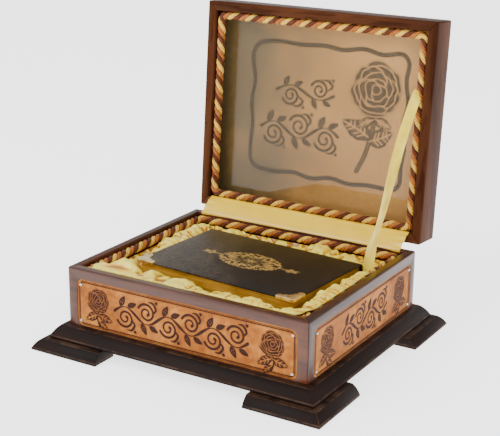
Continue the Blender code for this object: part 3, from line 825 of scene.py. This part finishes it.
outerPlace = lidSeat @ Matrix(((-1, 0, 0), (0, -1, 0), (0, 0, 1))).to_4x4()
node = "lid_outer_leather"
low, high = spanIn(node, outerPlace)
width, height = high[0] - low[0], high[1] - low[1]
outerLines = [borderLine(width, height, 0.0085, 0.012, 0.0009)]
outerLines.append(borderLine(width, height, 0.0125, 0.012, 0.0004))
outerShapes = roseShapes(0, 0, 0.036, 0.0005)
for sign in (-1, 1):
    outerLines += scrollLines(0, sign * 0.082, 0.22, 0.05, 6, 0.0012)
    outerShapes += budShapes(sign * 0.098, 0, 0.074, 0.0014, sign)
drawn, style = (outerLines, outerShapes), dict(leather, cell=0.0010)
tooledSlab("lidCover", node, "lid", "tooled_leather", outerPlace, drawn, style, tooledLeather, 0.0015)
print("leather tooled")


# Twisted cord
cord = {
    "pitch": 0.0283, "strands": 3, "around": 10, "samples": 18,
    # Each strand's light tone and the darker tone painted as shade in its grooves
    "cream": ("ffd75a", "c08018"), "tan": ("c8782a", "6e350c"), "brown": ("70300c", "2c0f03"),
}


def threadFinish(name):
    # Silky yarn: fine threads wind round each strand, with painted shade in the grooves between threads and
    # yarns
    light, dark = cord[name]
    finish = Finish(f"{name}Thread")
    around, along = finish.axes(finish.add("ShaderNodeUVMap", {}, {}, "UV"))[:2]
    fuzz = finish.noise(500, 3, 0.6)
    threads = ((around * 6 + along * 150) * (2 * math.pi) + fuzz * 2.0).math("SINE") * 0.5 + 0.5
    yarn = ((around * 5 + along * 24) * (2 * math.pi) + fuzz * 0.8).math("SINE") * 0.5 + 0.5
    # Darker in the grooves between threads and yarns: painted shade
    colour = finish.blend(threads * 0.45 + yarn.step(0.08, 0.55) * 0.55, tint(dark), tint(light))
    normal = finish.bump(threads * 0.5 + yarn, 0.0007, 0.9)
    rough = fuzz * 0.3 + 0.32
    return finish.surface(colour=colour, rough=rough, normal=normal, sheen=0.08, sheenRough=0.4, gloss=0.25)


cordTints = [threadFinish(name) for name in ("cream", "tan", "brown")]


def loopRoute(halfX, halfY, corner, count):
    # Even points round a rounded rectangle, with the direction and the outward side at each
    straightX, straightY, bend = 2 * (halfX - corner), 2 * (halfY - corner), corner * math.pi / 2
    total = 2 * (straightX + straightY) + 4 * bend
    legs = [
        ("line", (halfX, corner - halfY), (0, 1), straightY),
        ("bend", (halfX - corner, halfY - corner), 0, bend),
        ("line", (halfX - corner, halfY), (-1, 0), straightX),
        ("bend", (corner - halfX, halfY - corner), 90, bend),
        ("line", (-halfX, halfY - corner), (0, -1), straightY),
        ("bend", (corner - halfX, corner - halfY), 180, bend),
        ("line", (corner - halfX, -halfY), (1, 0), straightX),
        ("bend", (halfX - corner, corner - halfY), 270, bend),
    ]
    route = []
    for step in range(count):
        left = total * step / count
        for kind, spot, facing, length in legs:
            if left < length:
                break
            left -= length
        if kind == "line":
            run = Vector((*facing, 0))
            route.append((Vector((*spot, 0)) + run * left, Vector((run.y, -run.x, 0))))
        else:
            angle = math.radians(facing) + left / corner
            side = Vector((math.cos(angle), math.sin(angle), 0))
            route.append((Vector((*spot, 0)) + side * corner, side))
    return route, total


def twistedCord(name, node, body, place):
    # Three strands laid left-handed round a closed loop
    low, high = spanIn(node, place)
    radius = (high[2] - low[2]) / 2
    halfX, halfY = (high[0] - low[0]) / 2 - radius, (high[1] - low[1]) / 2 - radius
    middle = Vector((low + high) / 2)
    strand = radius / (1 + 2 / math.sqrt(3)) * 1.06
    wind = radius - strand
    perimeter = loopRoute(halfX, halfY, radius + 0.0006, 1)[1]
    turns = round(perimeter / cord["pitch"])
    count = turns * cord["samples"]
    route, total = loopRoute(halfX, halfY, radius + 0.0006, count)
    up = Vector((0, 0, 1))
    mesh = bpy.data.meshes.new(name)
    bm = bmesh.new()
    uvLayer = bm.loops.layers.uv.new("UVMap")
    for index in range(cord["strands"]):
        centres, radials = [], []
        for step, (spot, side) in enumerate(route):
            angle = 2 * math.pi * (turns * step / count + index / cord["strands"])
            radial = side * math.cos(angle) + up * math.sin(angle)
            centres.append(spot + radial * wind)
            radials.append(radial)
        rings = []
        for step in range(count):
            run = (centres[(step + 1) % count] - centres[step - 1]).normalized()
            across = run.cross(radials[step]).normalized()
            outer = across.cross(run)
            ring = []
            for spoke in range(cord["around"]):
                angle = 2 * math.pi * spoke / cord["around"]
                reach = outer * math.cos(angle) * 0.94 + across * math.sin(angle) * 1.04
                ring.append(bm.verts.new(centres[step] + reach * strand))
            rings.append(ring)
        for step in range(count):
            here, there = rings[step], rings[(step + 1) % count]
            for spoke in range(cord["around"]):
                beside = (spoke + 1) % cord["around"]
                face = bm.faces.new((here[spoke], here[beside], there[beside], there[spoke]))
                face.material_index = index
                face.smooth = True
                corners = ((spoke, step), (spoke + 1, step), (spoke + 1, step + 1), (spoke, step + 1))
                for loop, (u, v) in zip(face.loops, corners):
                    loop[uvLayer].uv = (u / cord["around"], v * total / count)
    bmesh.ops.recalc_face_normals(bm, faces=bm.faces)
    bm.to_mesh(mesh)
    bm.free()
    mesh.transform(place @ Matrix.Translation(middle))
    piece = linked(name, mesh)
    for material in cordTints:
        piece.data.materials.append(material)
    enter(piece, body, "twisted_cord", node)


twistedCord("cordTrim_base", "rope_base", "box", Matrix.Translation((0, middleY, 0)))
twistedCord("cordTrim_lid", "rope_lid", "lid", lidSeat)
print("cord laid")


# Satin lining
satin = {
    "cell": 0.0033, "rows": 18, "fullness": -0.24, "looser": -0.55, "pressure": 2.4, "frames": 22,
    # pale is the painted highlight on the ridges and deep the painted shade in the folds
    "pale": "ffea50", "middle": "f8be06", "deep": "a86e02", "roughness": 0.27,
}
# The flap and ribbon tints hold the same painted highlight and painted shade
flapTints = {"pale": "ffea40", "middle": "ffd210", "deep": "d09604", "roughness": 0.34}
ribbonTints = {"pale": "ffee5a", "middle": "f3d428", "deep": "b4900c", "roughness": 0.32}
bookLow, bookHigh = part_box("book_cover")
bookMiddle = (bookLow + bookHigh) / 2
bookTurn = math.radians(-4.5)
bookHalf = (0.1175, 0.079)


def satinFinish(name, cloth):
    # Shiny weave with a painted highlight, pale, on the ridges and painted shade, deep gold, in the folds
    finish = Finish(name)
    drift = finish.noise(34, 3, 0.5)
    weave = finish.noise(900, 2, 0.5, (1, 0.2, 1))
    # The crest value paints highlight on the ridges and shade in the folds
    shade = finish.attribute("crest") * 0.86 + drift * 0.14
    colour = finish.ramp(shade, {0.22: cloth["deep"], 0.50: cloth["middle"], 0.80: cloth["pale"]})
    normal = finish.bump(weave + drift, 0.00006, 0.4)
    rough = weave * 0.16 + (cloth["roughness"] - 0.08)
    return finish.surface(colour=colour, rough=rough, normal=normal, sheen=0.1, sheenRough=0.35, gloss=0.8)


goldSatin = satinFinish("goldSatin", satin)
flapSatin = satinFinish("flapSatin", flapTints)
lemonSatin = satinFinish("lemonSatin", ribbonTints)


def frameRoute(halfX, halfY, corner, counts):
    # Points round a rounded rectangle, with the same number in each leg whatever its size
    spots = []
    alongY, alongX, bend = counts
    starts = ((halfX, corner - halfY, 0, 1), (corner - halfX + 2 * (halfX - corner), halfY, -1, 0),
              (-halfX, halfY - corner, 0, -1), (corner - halfX, -halfY, 1, 0))
    for quarter, (x, y, runX, runY) in enumerate(starts):
        length, count = (2 * (halfY - corner), alongY) if runX == 0 else (2 * (halfX - corner), alongX)
        for step in range(count):
            spots.append((x + runX * length * step / count, y + runY * length * step / count))
        signX, signY = ((1, 1), (-1, 1), (-1, -1), (1, -1))[quarter]
        for step in range(bend):
            angle = math.radians(90 * quarter + 90 * step / bend)
            centre = (signX * (halfX - corner), signY * (halfY - corner))
            spots.append((centre[0] + corner * math.cos(angle), centre[1] + corner * math.sin(angle)))
    return np.array(spots)


def crestShade(piece, scale, rounds=14):
    # How far each point stands above the cloth round it, as a value from 0 to 1, which paints highlight on
    # the ridges and shade in the folds
    mesh = piece.data
    count = len(mesh.vertices)
    spots, normals = np.zeros(count * 3), np.zeros(count * 3)
    mesh.vertices.foreach_get("co", spots)
    mesh.vertices.foreach_get("normal", normals)
    spots, normals = spots.reshape(-1, 3), normals.reshape(-1, 3)
    pairs = np.zeros(len(mesh.edges) * 2, int)
    mesh.edges.foreach_get("vertices", pairs)
    first, second = pairs.reshape(-1, 2).T
    share = np.maximum(np.bincount(pairs, minlength=count), 1)[:, None]
    smooth = spots.copy()
    for _ in range(rounds):
        total = np.zeros_like(smooth)
        np.add.at(total, first, smooth[second])
        np.add.at(total, second, smooth[first])
        smooth = total / share
    above = ((spots - smooth) * normals).sum(1)
    setPointValues(piece, "crest", np.clip(0.5 + above / scale, 0, 1))


def meshPiece(name, spots, faces):
    mesh = bpy.data.meshes.new(name)
    mesh.from_pydata(spots, [], faces)
    return linked(name, mesh)


def satinLining():
    # The padded satin round the book: laid loose between cord and book, then blown full
    alongY, alongX, bend = round(0.262 / satin["cell"]), round(0.314 / satin["cell"]), 7
    outer = frameRoute(0.1475, 0.1215, 0.012, (alongY, alongX, bend))
    inner = frameRoute(bookHalf[0] + 0.0022, bookHalf[1] + 0.0022, 0.005, (alongY, alongX, bend))
    turn = np.array([[math.cos(bookTurn), -math.sin(bookTurn)], [math.sin(bookTurn), math.cos(bookTurn)]])
    inner = inner @ turn.T + np.array([bookMiddle.x, bookMiddle.y - middleY])
    count, rows = len(outer), satin["rows"]
    front = smoothStep(0.098, 0.117, -outer[:, 1])
    right = smoothStep(0.136, 0.146, outer[:, 0]) * (1 - 0.85 * smoothStep(0.035, 0.085, outer[:, 1]))
    puff = 0.8 * np.exp(-((outer[:, 0] + 0.128) ** 2 + (outer[:, 1] + 0.112) ** 2) / 0.028 ** 2)
    outer[:, 1] -= 0.0098 * front
    outer[:, 0] += 0.0062 * right * (1 - front)
    outerZ = rimZ - 0.0140 + 0.0105 * front + 0.0105 * right * (1 - front)
    innerZ = rimZ - 0.019
    crown = 0.0075 + 0.0005 * front + 0.003 * right * (1 - front) + 0.009 * puff
    peak = 0.62 - 0.30 * front - 0.22 * right
    dice = random.Random(11)
    spots = []
    phase = 0.0
    for step in range(count):
        phase += 2 * math.pi * satin["cell"] / (0.0125 + 0.006 * noise.noise(Vector((step * 0.05, 3.7, 0))))
        for row in range(rows):
            share = row / (rows - 1)
            x, y = outer[step] + (inner[step] - outer[step]) * share
            swell = math.sin(math.pi * share ** (math.log(0.5) / math.log(peak[step])))
            z = outerZ[step] + (innerZ - outerZ[step]) * share + crown[step] * swell
            fold = noise.noise(Vector((x * 60, y * 60, 1.5))) * 0.0024 + dice.uniform(-0.0002, 0.0002)
            z += (math.sin(phase + share * 1.3) * 0.0017 + fold) * min(1, 6 * share, 6 * (1 - share))
            spots.append((x, y + middleY, z))
    faces = []
    for step in range(count):
        here, after = step * rows, (step + 1) % count * rows
        for row in range(rows - 1):
            faces.append((here + row, after + row, after + row + 1, here + row + 1))
    piece = meshPiece("satinLining", spots, faces)
    blowFull(piece, count, rows, puff)
    settle(piece)
    crestShade(piece, 0.0030)
    applyModifier(piece, "SUBSURF", levels=1, render_levels=1)
    selectOnly(piece)
    bpy.ops.object.shade_smooth()
    setFinish(piece, goldSatin)
    nodes = [f"lining_{side}" for side in ("front", "rear", "left", "right", "floor")]
    enter(piece, "box", "gold_satin", *nodes)


# Cloth settings of the blown lining
billow = {
    "quality": 5, "mass": 0.12, "tension_stiffness": 12, "compression_stiffness": 12, "shear_stiffness": 6,
    "bending_stiffness": 0.06, "tension_damping": 8, "compression_damping": 8, "use_pressure": True,
}


def blowFull(piece, count, rows, puff):
    held = piece.vertex_groups.new(name="held")
    held.add([step * rows + row for step in range(count) for row in (0, rows - 1)], 1.0, "REPLACE")
    loose = piece.vertex_groups.new(name="loose")
    for step in range(count):
        ease = 0.5 + 0.5 * noise.noise(Vector((step * 0.11, 0.4, 8.1)))
        for row in range(rows):
            loose.add([step * rows + row], min(1, max(0, ease * 0.7 + float(puff[step]) * 0.6)), "REPLACE")
    modifier = piece.modifiers.new("billow", "CLOTH")
    cloth = modifier.settings
    for key, value in billow.items():
        setattr(cloth, key, value)
    cloth.shrink_min = satin["fullness"]
    cloth.shrink_max = satin["looser"]
    cloth.vertex_group_shrink = "loose"
    cloth.vertex_group_mass = "held"
    cloth.uniform_pressure_force = satin["pressure"]
    cloth.effector_weights.gravity = 0
    modifier.collision_settings.use_collision = False
    modifier.collision_settings.use_self_collision = False
    modifier.point_cache.frame_end = satin["frames"]
    for frameNumber in range(1, satin["frames"] + 1):
        bpy.context.scene.frame_set(frameNumber)
    selectOnly(piece)
    bpy.ops.object.modifier_apply(modifier="billow")
    bpy.context.scene.frame_set(1)


def settle(piece):
    # Keeps the cloth off the cord, the book, the walls and the closed lid
    mesh = piece.data
    cordX, cordY = halfWidth - wallThick - 0.0063, halfDepth - wallThick - 0.0063
    cordZ, cordRadius = rimZ - 0.008, 0.0066
    turn = Matrix.Rotation(-bookTurn, 3, "Z")
    for vertex in mesh.vertices:
        spot = vertex.co.copy()
        y = spot.y - middleY
        toX, toY = cordX - abs(spot.x), cordY - abs(y)
        for away, axis, value in ((toX, 0, spot.x), (toY, 1, y)):
            rise = spot.z - cordZ
            reach = math.hypot(away, rise)
            if reach < cordRadius:
                grow = cordRadius / max(reach, 1e-6)
                spot.z = cordZ + rise * grow
                shift = away * (grow - 1) * (-1 if value > 0 else 1)
                spot[axis] += shift
        flat = turn @ (spot - bookMiddle)
        insideX, insideY = bookHalf[0] + 0.0008 - abs(flat.x), bookHalf[1] + 0.0008 - abs(flat.y)
        if insideX > 0 and insideY > 0 and spot.z < bookHigh.z + 0.0012:
            if min(insideX, insideY) < 0.007 and spot.z > bookHigh.z - 0.004:
                spot.z = bookHigh.z + 0.0012
            elif insideX < insideY:
                flat.x += math.copysign(insideX, flat.x)
                spot = turn.inverted() @ flat + bookMiddle
            else:
                flat.y += math.copysign(insideY, flat.y)
                spot = turn.inverted() @ flat + bookMiddle
        edge = max(abs(spot.x) - 0.1430, abs(spot.y - middleY) - 0.1170)
        ceiling = rimZ + 0.0012 + 0.013 * (1 - smoothStep(-0.012, 0.0, edge))
        if spot.z > ceiling - 0.002:                # eased in, so the tops aren't cut flat
            spot.z = ceiling - 0.002 + 0.002 * math.tanh((spot.z - ceiling + 0.002) / 0.004)
        spot.x = min(max(spot.x, -0.1564), 0.1564)
        spot.y = min(max(spot.y, middleY - 0.1304), middleY + 0.1304)
        vertex.co = spot
    mesh.update()


satinLining()
print("lining filled")


# Satin flap and ribbon
flap = {"wide": 0.305, "thick": 0.0005, "bulge": 0.0012, "across": 110, "along": 16}
ribbon = {"wide": 0.013, "thick": 0.0003, "sag": 0.006, "along": 90, "across": 6}


def gridSheet(name, spots, thick, material, shade):
    # A cloth sheet from rows of points, given its thickness
    rows, columns = len(spots), len(spots[0])
    faces = []
    for row in range(rows - 1):
        for column in range(columns - 1):
            first = row * columns + column
            faces.append((first, first + 1, first + columns + 1, first + columns))
    piece = meshPiece(name, [tuple(spot) for line in spots for spot in line], faces)
    crestShade(piece, shade, 10)
    applyModifier(piece, "SOLIDIFY", thickness=thick, offset=0)
    dress(piece, 60, material)
    return piece


def routeOf(knots, steps):
    # A smooth route through points, evenly spaced
    ends = [knots[0] * 2 - knots[1], *knots, knots[-1] * 2 - knots[-2]]
    fine = []
    for index in range(1, len(ends) - 2):
        for share in np.arange(0, 1, 0.02):
            fine.append(splineSpot(*ends[index - 1:index + 3], share))
    fine.append(knots[-1])
    runs = np.concatenate([[0], np.cumsum([(after - here).length for here, after in zip(fine, fine[1:])])])
    even = np.linspace(0, runs[-1], steps + 1)
    table = np.array([tuple(spot) for spot in fine])
    route = [Vector([float(np.interp(run, runs, table[:, axis])) for axis in range(3)]) for run in even]
    return route, float(runs[-1])


def satinFlap():
    halfWide = flap["wide"] / 2
    rows = []
    boxEdge, lidEdge = Vector((0, middleY + 0.1336, rimZ + 0.0009)), lidPoint(0, 0.0115, -0.0009)
    route, length = routeOf([
        Vector((0, middleY + 0.1324, rimZ - 0.0030)), boxEdge, boxEdge.lerp(lidEdge, 0.5), lidEdge,
        lidPoint(0, 0.0136, 0.0008), lidPoint(0, 0.0142, 0.0034),
    ], flap["along"])
    bulgeAxis = (Vector((0, -1, 0.6))).normalized()
    for column in range(flap["across"] + 1):
        share = column / flap["across"]
        x = (share - 0.5) * flap["wide"]
        fullness = 0.55 + 0.45 * math.cos(share * 5.2 + 0.4)
        pinch = 0.0018 * math.exp(-((halfWide - abs(x)) / 0.010) ** 2)
        line = []
        for row, spot in enumerate(route):
            part = row / flap["along"]
            arch = math.sin(math.pi * part)
            lift = flap["bulge"] * arch ** 1.5 * fullness
            lift += 0.0017 * arch * noise.noise(Vector((x * 34 + part * 0.6, part * 0.4, 2.2)))
            pull = pinch * math.sin(6 * math.pi * part)
            line.append(Vector((x, spot.y, spot.z)) + bulgeAxis * (lift + pull * 0.5))
        rows.append(line)
    piece = gridSheet("satinFlap", rows, flap["thick"], flapSatin, 0.010)
    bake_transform(piece)
    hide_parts("hinge_flap")
    return length


def satinRibbon():
    foot = Vector((0.1370, middleY + 0.064, rimZ + 0.0006))
    head = lidPoint(0.150, 0.1995, 0.0012)
    knots = []
    for share in np.linspace(0, 1, 9):
        spot = foot.lerp(head, share)
        spot.z -= ribbon["sag"] * 4 * share * (1 - share)
        spot.x += 0.0022 * math.sin(2 * math.pi * share)
        spot.y -= 0.004 * math.sin(math.pi * share)
        knots.append(spot)
    knots[0] += Vector((0.002, 0.001, -0.011))        # the foot is tucked into the lining
    route, length = routeOf(knots, ribbon["along"])
    lines = []
    for index, spot in enumerate(route):
        share = index / ribbon["along"]
        run = (route[min(index + 1, len(route) - 1)] - route[max(index - 1, 0)]).normalized()
        flatWay = Vector((1, 0.25, 0)).cross(run).cross(run).normalized() * -1
        lower = smoothStep(0.06, 0.22, share) * (1 - smoothStep(0.46, 0.70, share))
        twist = math.radians(58 * lower + 40 * smoothStep(0.90, 1.0, share) + 14 * math.sin(share * 9))
        wide = Matrix.Rotation(twist, 3, run) @ flatWay
        lift = run.cross(wide)
        line = []
        for step in range(ribbon["across"] + 1):
            place = step / ribbon["across"] - 0.5
            cup = 0.0011 * (1 - 4 * place * place) * (0.4 + lower)
            cup += 0.0004 * noise.noise(Vector((share * 18, place * 2, 5.5)))
            line.append(spot + wide * (place * ribbon["wide"]) + lift * cup)
        lines.append(line)
    piece = gridSheet("ribbonStay", lines, ribbon["thick"], lemonSatin, 0.003)
    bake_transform(piece)
    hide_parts("ribbon_stay")
    return length


print("flap length", round(satinFlap(), 4), "ribbon length", round(satinRibbon(), 4))


# Book
book = {
    "left": "544a36", "dark": "21150e", "deep": "0b0504", "gold": "e6bd6c", "roughness": 0.42, "gloss": 0.25,
    "medalX": 0.043, "medalY": 0.028, "finialX": 0.0625, "finialWide": 0.0115, "finialHigh": 0.0062,
    "pageDark": "5e3d08", "pageMiddle": "a3761a", "pageLight": "d9ad40",
}


def bookLeather():
    # Dark pebbled leather with a gilt medallion and two finials
    finish = Finish("bookLeather")
    values = {"Vector": finish.place, "Rotation": (0, 0, bookTurn)}
    values["Location"] = (bookMiddle.x, bookMiddle.y, bookHigh.z)
    x, y, z = finish.axes(finish.add("ShaderNodeMapping", {"vector_type": "TEXTURE"}, values))
    overX, overY = x / book["medalX"], y / book["medalY"]
    around = overY.math("ARCTAN2", overX)
    reach = (overX * overX + overY * overY).math("SQRT")
    scallops = abs((around * 16).math("COSINE")) * 0.07
    points = (around * 2).math("COSINE").math("MAXIMUM", 0) * 0.10
    ratio = reach / (0.90 + scallops + points)
    inside = 1 - ratio.step(0.99, 1.01)
    rimLine = 1 - abs(ratio - 0.95).step(0.02, 0.035)
    ring = 1 - abs(ratio - 0.62).step(0.012, 0.03)
    petals = ((around * 12).math("SINE") * (ratio * 21).math("SINE")).step(0.12, 0.35)
    sprays = (around * 8 + ratio * 13).math("SINE") + (around * -20 + ratio * 17).math("SINE") * 0.7
    fill = petals.math("MAXIMUM", sprays.step(0.35, 0.7)) * (ratio.step(0.34, 0.56) * 0.8 + 0.2)
    core = ((around * 8).math("COSINE") * 0.08 + 0.16 - ratio).step(-0.01, 0.01)
    gilt = inside * fill.math("MAXIMUM", rimLine).math("MAXIMUM", ring).math("MAXIMUM", core * 0.8)
    tipX, tipY = (abs(x) - book["finialX"]) / book["finialWide"], y / book["finialHigh"]
    tip = (tipX * tipX + tipY * tipY).math("SQRT") + 0.22 * (tipY.math("ARCTAN2", tipX) * 5).math("COSINE")
    finial = (1 - tip.step(0.78, 0.90)) * (1 - abs(tip - 0.42).step(0.03, 0.10) * 0.5)
    stalk = (1 - abs(y).step(0.0005, 0.001)) * (1 - abs(abs(x) - 0.0475).step(0.004, 0.005))
    gilt = gilt.math("MAXIMUM", finial).math("MAXIMUM", stalk) * z.step(-0.0012, -0.0006)
    gilt = gilt * finish.noise(620, 3, 0.7).step(0.38, 0.50)
    cloud = finish.noise(16, 4, 0.6)
    mottle = finish.noise(160, 4, 0.7)
    shade = x * -2.6 + 0.46 + (cloud - 0.5) * 0.9 + (mottle - 0.5) * 1.3
    colour = finish.ramp(shade, {0.15: book["deep"], 0.5: book["dark"], 0.95: book["left"]})
    colour = finish.blend(gilt, colour, book["gold"])
    normal = finish.bump(finish.cells(800).step(0.0, 0.2) + gilt * -0.8, 0.0002, 0.6)
    rough = mottle * 0.25 + (book["roughness"] - 0.12) - gilt * 0.08
    return finish.surface(colour=colour, metal=gilt * 0.75, normal=normal, rough=rough, gloss=book["gloss"])


def pageFinish():
    finish = Finish("giltPages")
    leaves = finish.noise(260, 3, 0.6, (0.06, 0.06, 14))
    drift = finish.noise(18, 3, 0.6)
    stops = {0.36: book["pageDark"], 0.5: book["pageMiddle"], 0.64: book["pageLight"]}
    colour = finish.ramp(leaves * 0.6 + drift * 0.4, stops)
    normal = finish.bump(leaves, 0.0003, 0.6)
    return finish.surface(colour=colour, metal=0.35, rough=drift * 0.2 + 0.3, normal=normal)


softenNode("book_cover", "bookCover", "box", "book_binding", bookLeather(), 0.0007)
softenNode("book_pages", "bookPages", "box", "gilt_pages", pageFinish(), 0.0002)

cornerPiece = {
    "reach": 0.0245, "drop": 0.0032, "overlap": 0.0006, "thick": 0.0007,
    "wing": (
        (1.04, 0.10), (1.0, 0.22), (0.88, 0.29), (0.78, 0.26),
        (0.72, 0.34), (0.62, 0.40), (0.53, 0.37), (0.49, 0.43),
    ),
}


def cornerPlate(name, node, side):
    # A pressed plate with scalloped wings over the cover's corner, folded down the edges
    reach, overlap, wing = cornerPiece["reach"], cornerPiece["overlap"], cornerPiece["wing"]
    outline = [(0, 0)]
    outline += [(reach * share, 0) for share in (0.25, 0.5, 0.75, 1.0)]
    outline += [(reach * x, reach * y) for x, y in wing]
    outline += [(reach * y, reach * x) for x, y in reversed(wing)]
    outline += [(0, reach * share) for share in (1.0, 0.75, 0.5, 0.25)]
    circle = {"vertices": len(outline), "radius": reach, "fill_type": "NGON"}
    piece = madeBy(bpy.ops.mesh.primitive_circle_add, name, **circle)
    for vertex, (x, y) in zip(piece.data.vertices, outline):
        vertex.co = (x - overlap, y - overlap, 0)
    for edge in piece.data.edges:
        spots = [piece.data.vertices[index].co for index in edge.vertices]
        edge.select = all(spot.x < -0.0005 for spot in spots) or all(spot.y < -0.0005 for spot in spots)
    bpy.ops.object.mode_set(mode="EDIT")
    extrude(-cornerPiece["drop"])
    bpy.ops.mesh.select_all(action="SELECT")
    bpy.ops.mesh.normals_make_consistent(inside=False)
    bpy.ops.object.mode_set(mode="OBJECT")
    applyModifier(piece, "SOLIDIFY", thickness=cornerPiece["thick"], offset=1)
    applyModifier(piece, "BEVEL", width=0.00025, segments=3, limit_method="ANGLE")
    corner = Matrix.Translation((side * bookHalf[0], -bookHalf[1], 0))
    turn = Matrix.Rotation(bookTurn, 4, "Z")
    flip = Matrix.Diagonal((-side, 1, 1, 1))
    place = Matrix.Translation((bookMiddle.x, bookMiddle.y, bookHigh.z + 0.0003)) @ turn
    piece.data.transform(place @ corner @ flip)
    if side > 0:
        piece.data.flip_normals()
    dress(piece, 40, gildedMetal)
    enter(piece, "box", "gilt_metal", node)


cornerPlate("cornerPlate_left", "book_corner_left", -1)
cornerPlate("cornerPlate_right", "book_corner_right", 1)
print("book bound")


# Hinge screws
screw = {
    "head": 0.0021, "rise": 0.0006, "slot": 0.0005, "spread": 0.0105, "leafFace": 0.0022,
    "boxShare": 0.30, "lidShare": 0.70,       # how far up its leaf each pair stands
}


def screwHead(name, place, body):
    # A low domed head with a driver slot across it
    circle = {"vertices": 20, "radius": screw["head"], "fill_type": "NGON"}
    piece = madeBy(bpy.ops.mesh.primitive_circle_add, name, **circle)
    bpy.ops.object.mode_set(mode="EDIT")
    bpy.ops.mesh.select_all(action="SELECT")
    extrude(screw["rise"] * 0.4)
    for rise, narrow in ((0.4, 0.82), (0.2, 0.7)):
        extrude(screw["rise"] * rise)
        bpy.ops.transform.resize(value=(narrow, narrow, 1))
    for cut in (screw["slot"] / 2, -screw["slot"] / 2):
        bpy.ops.mesh.select_all(action="SELECT")
        bpy.ops.mesh.bisect(plane_co=(0, cut, 0), plane_no=(0, 1, 0))
    bpy.ops.object.mode_set(mode="OBJECT")
    for vertex in piece.data.vertices:
        if abs(vertex.co.y) < screw["slot"] * 0.4 and vertex.co.z > screw["rise"] * 0.9:
            vertex.co.z -= screw["rise"] * 0.7
    for face in piece.data.polygons:
        face.select = abs(face.center.y) < screw["slot"] * 0.4 and face.center.z > screw["rise"] * 0.9
    bpy.ops.object.mode_set(mode="EDIT")
    bpy.ops.mesh.select_mode(type="FACE")
    extrude(-screw["rise"] * 0.8)
    bpy.ops.mesh.select_all(action="SELECT")
    bpy.ops.mesh.normals_make_consistent(inside=False)
    bpy.ops.object.mode_set(mode="OBJECT")
    piece.data.transform(place)
    dress(piece, 35, brass)
    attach(piece, body)


outwardY = Matrix(((1, 0, 0), (0, 0, 1), (0, -1, 0))).to_4x4()       # local z points along +Y
for side in ("left", "right"):
    for body, leaf, seat in (("box", "base_leaf", Matrix.Identity(4)), ("lid", "lid_leaf", lidSeat)):
        low, high = spanIn(f"hinge_{side}_{leaf}", seat)
        share = screw[f"{body}Share"]
        height = low[2] + share * (high[2] - low[2])
        face = (wallRear[1].y if body == "box" else 0) + screw["leafFace"]
        for sign, hand in ((-1, "inner"), (1, "outer")):
            turn = Matrix.Rotation(0.6 * sign + 0.4, 4, "Z")
            spot = Matrix.Translation(((low[0] + high[0]) / 2 + sign * screw["spread"], face, height))
            screwHead(f"hingeScrew_{side}_{leaf}_{hand}", seat @ spot @ outwardY @ turn, body)


# Floor
floor = madeBy(bpy.ops.mesh.primitive_plane_add, "paleFloor", size=60, location=(0, 0, -0.0002))
floorFinish = Finish("paleFloor")
floorFinish.surface(colour=light["floorTint"], rough=0.6, glowTint=(1, 1, 1), glow=light["floorGlow"])
setFinish(floor, floorFinish.material)
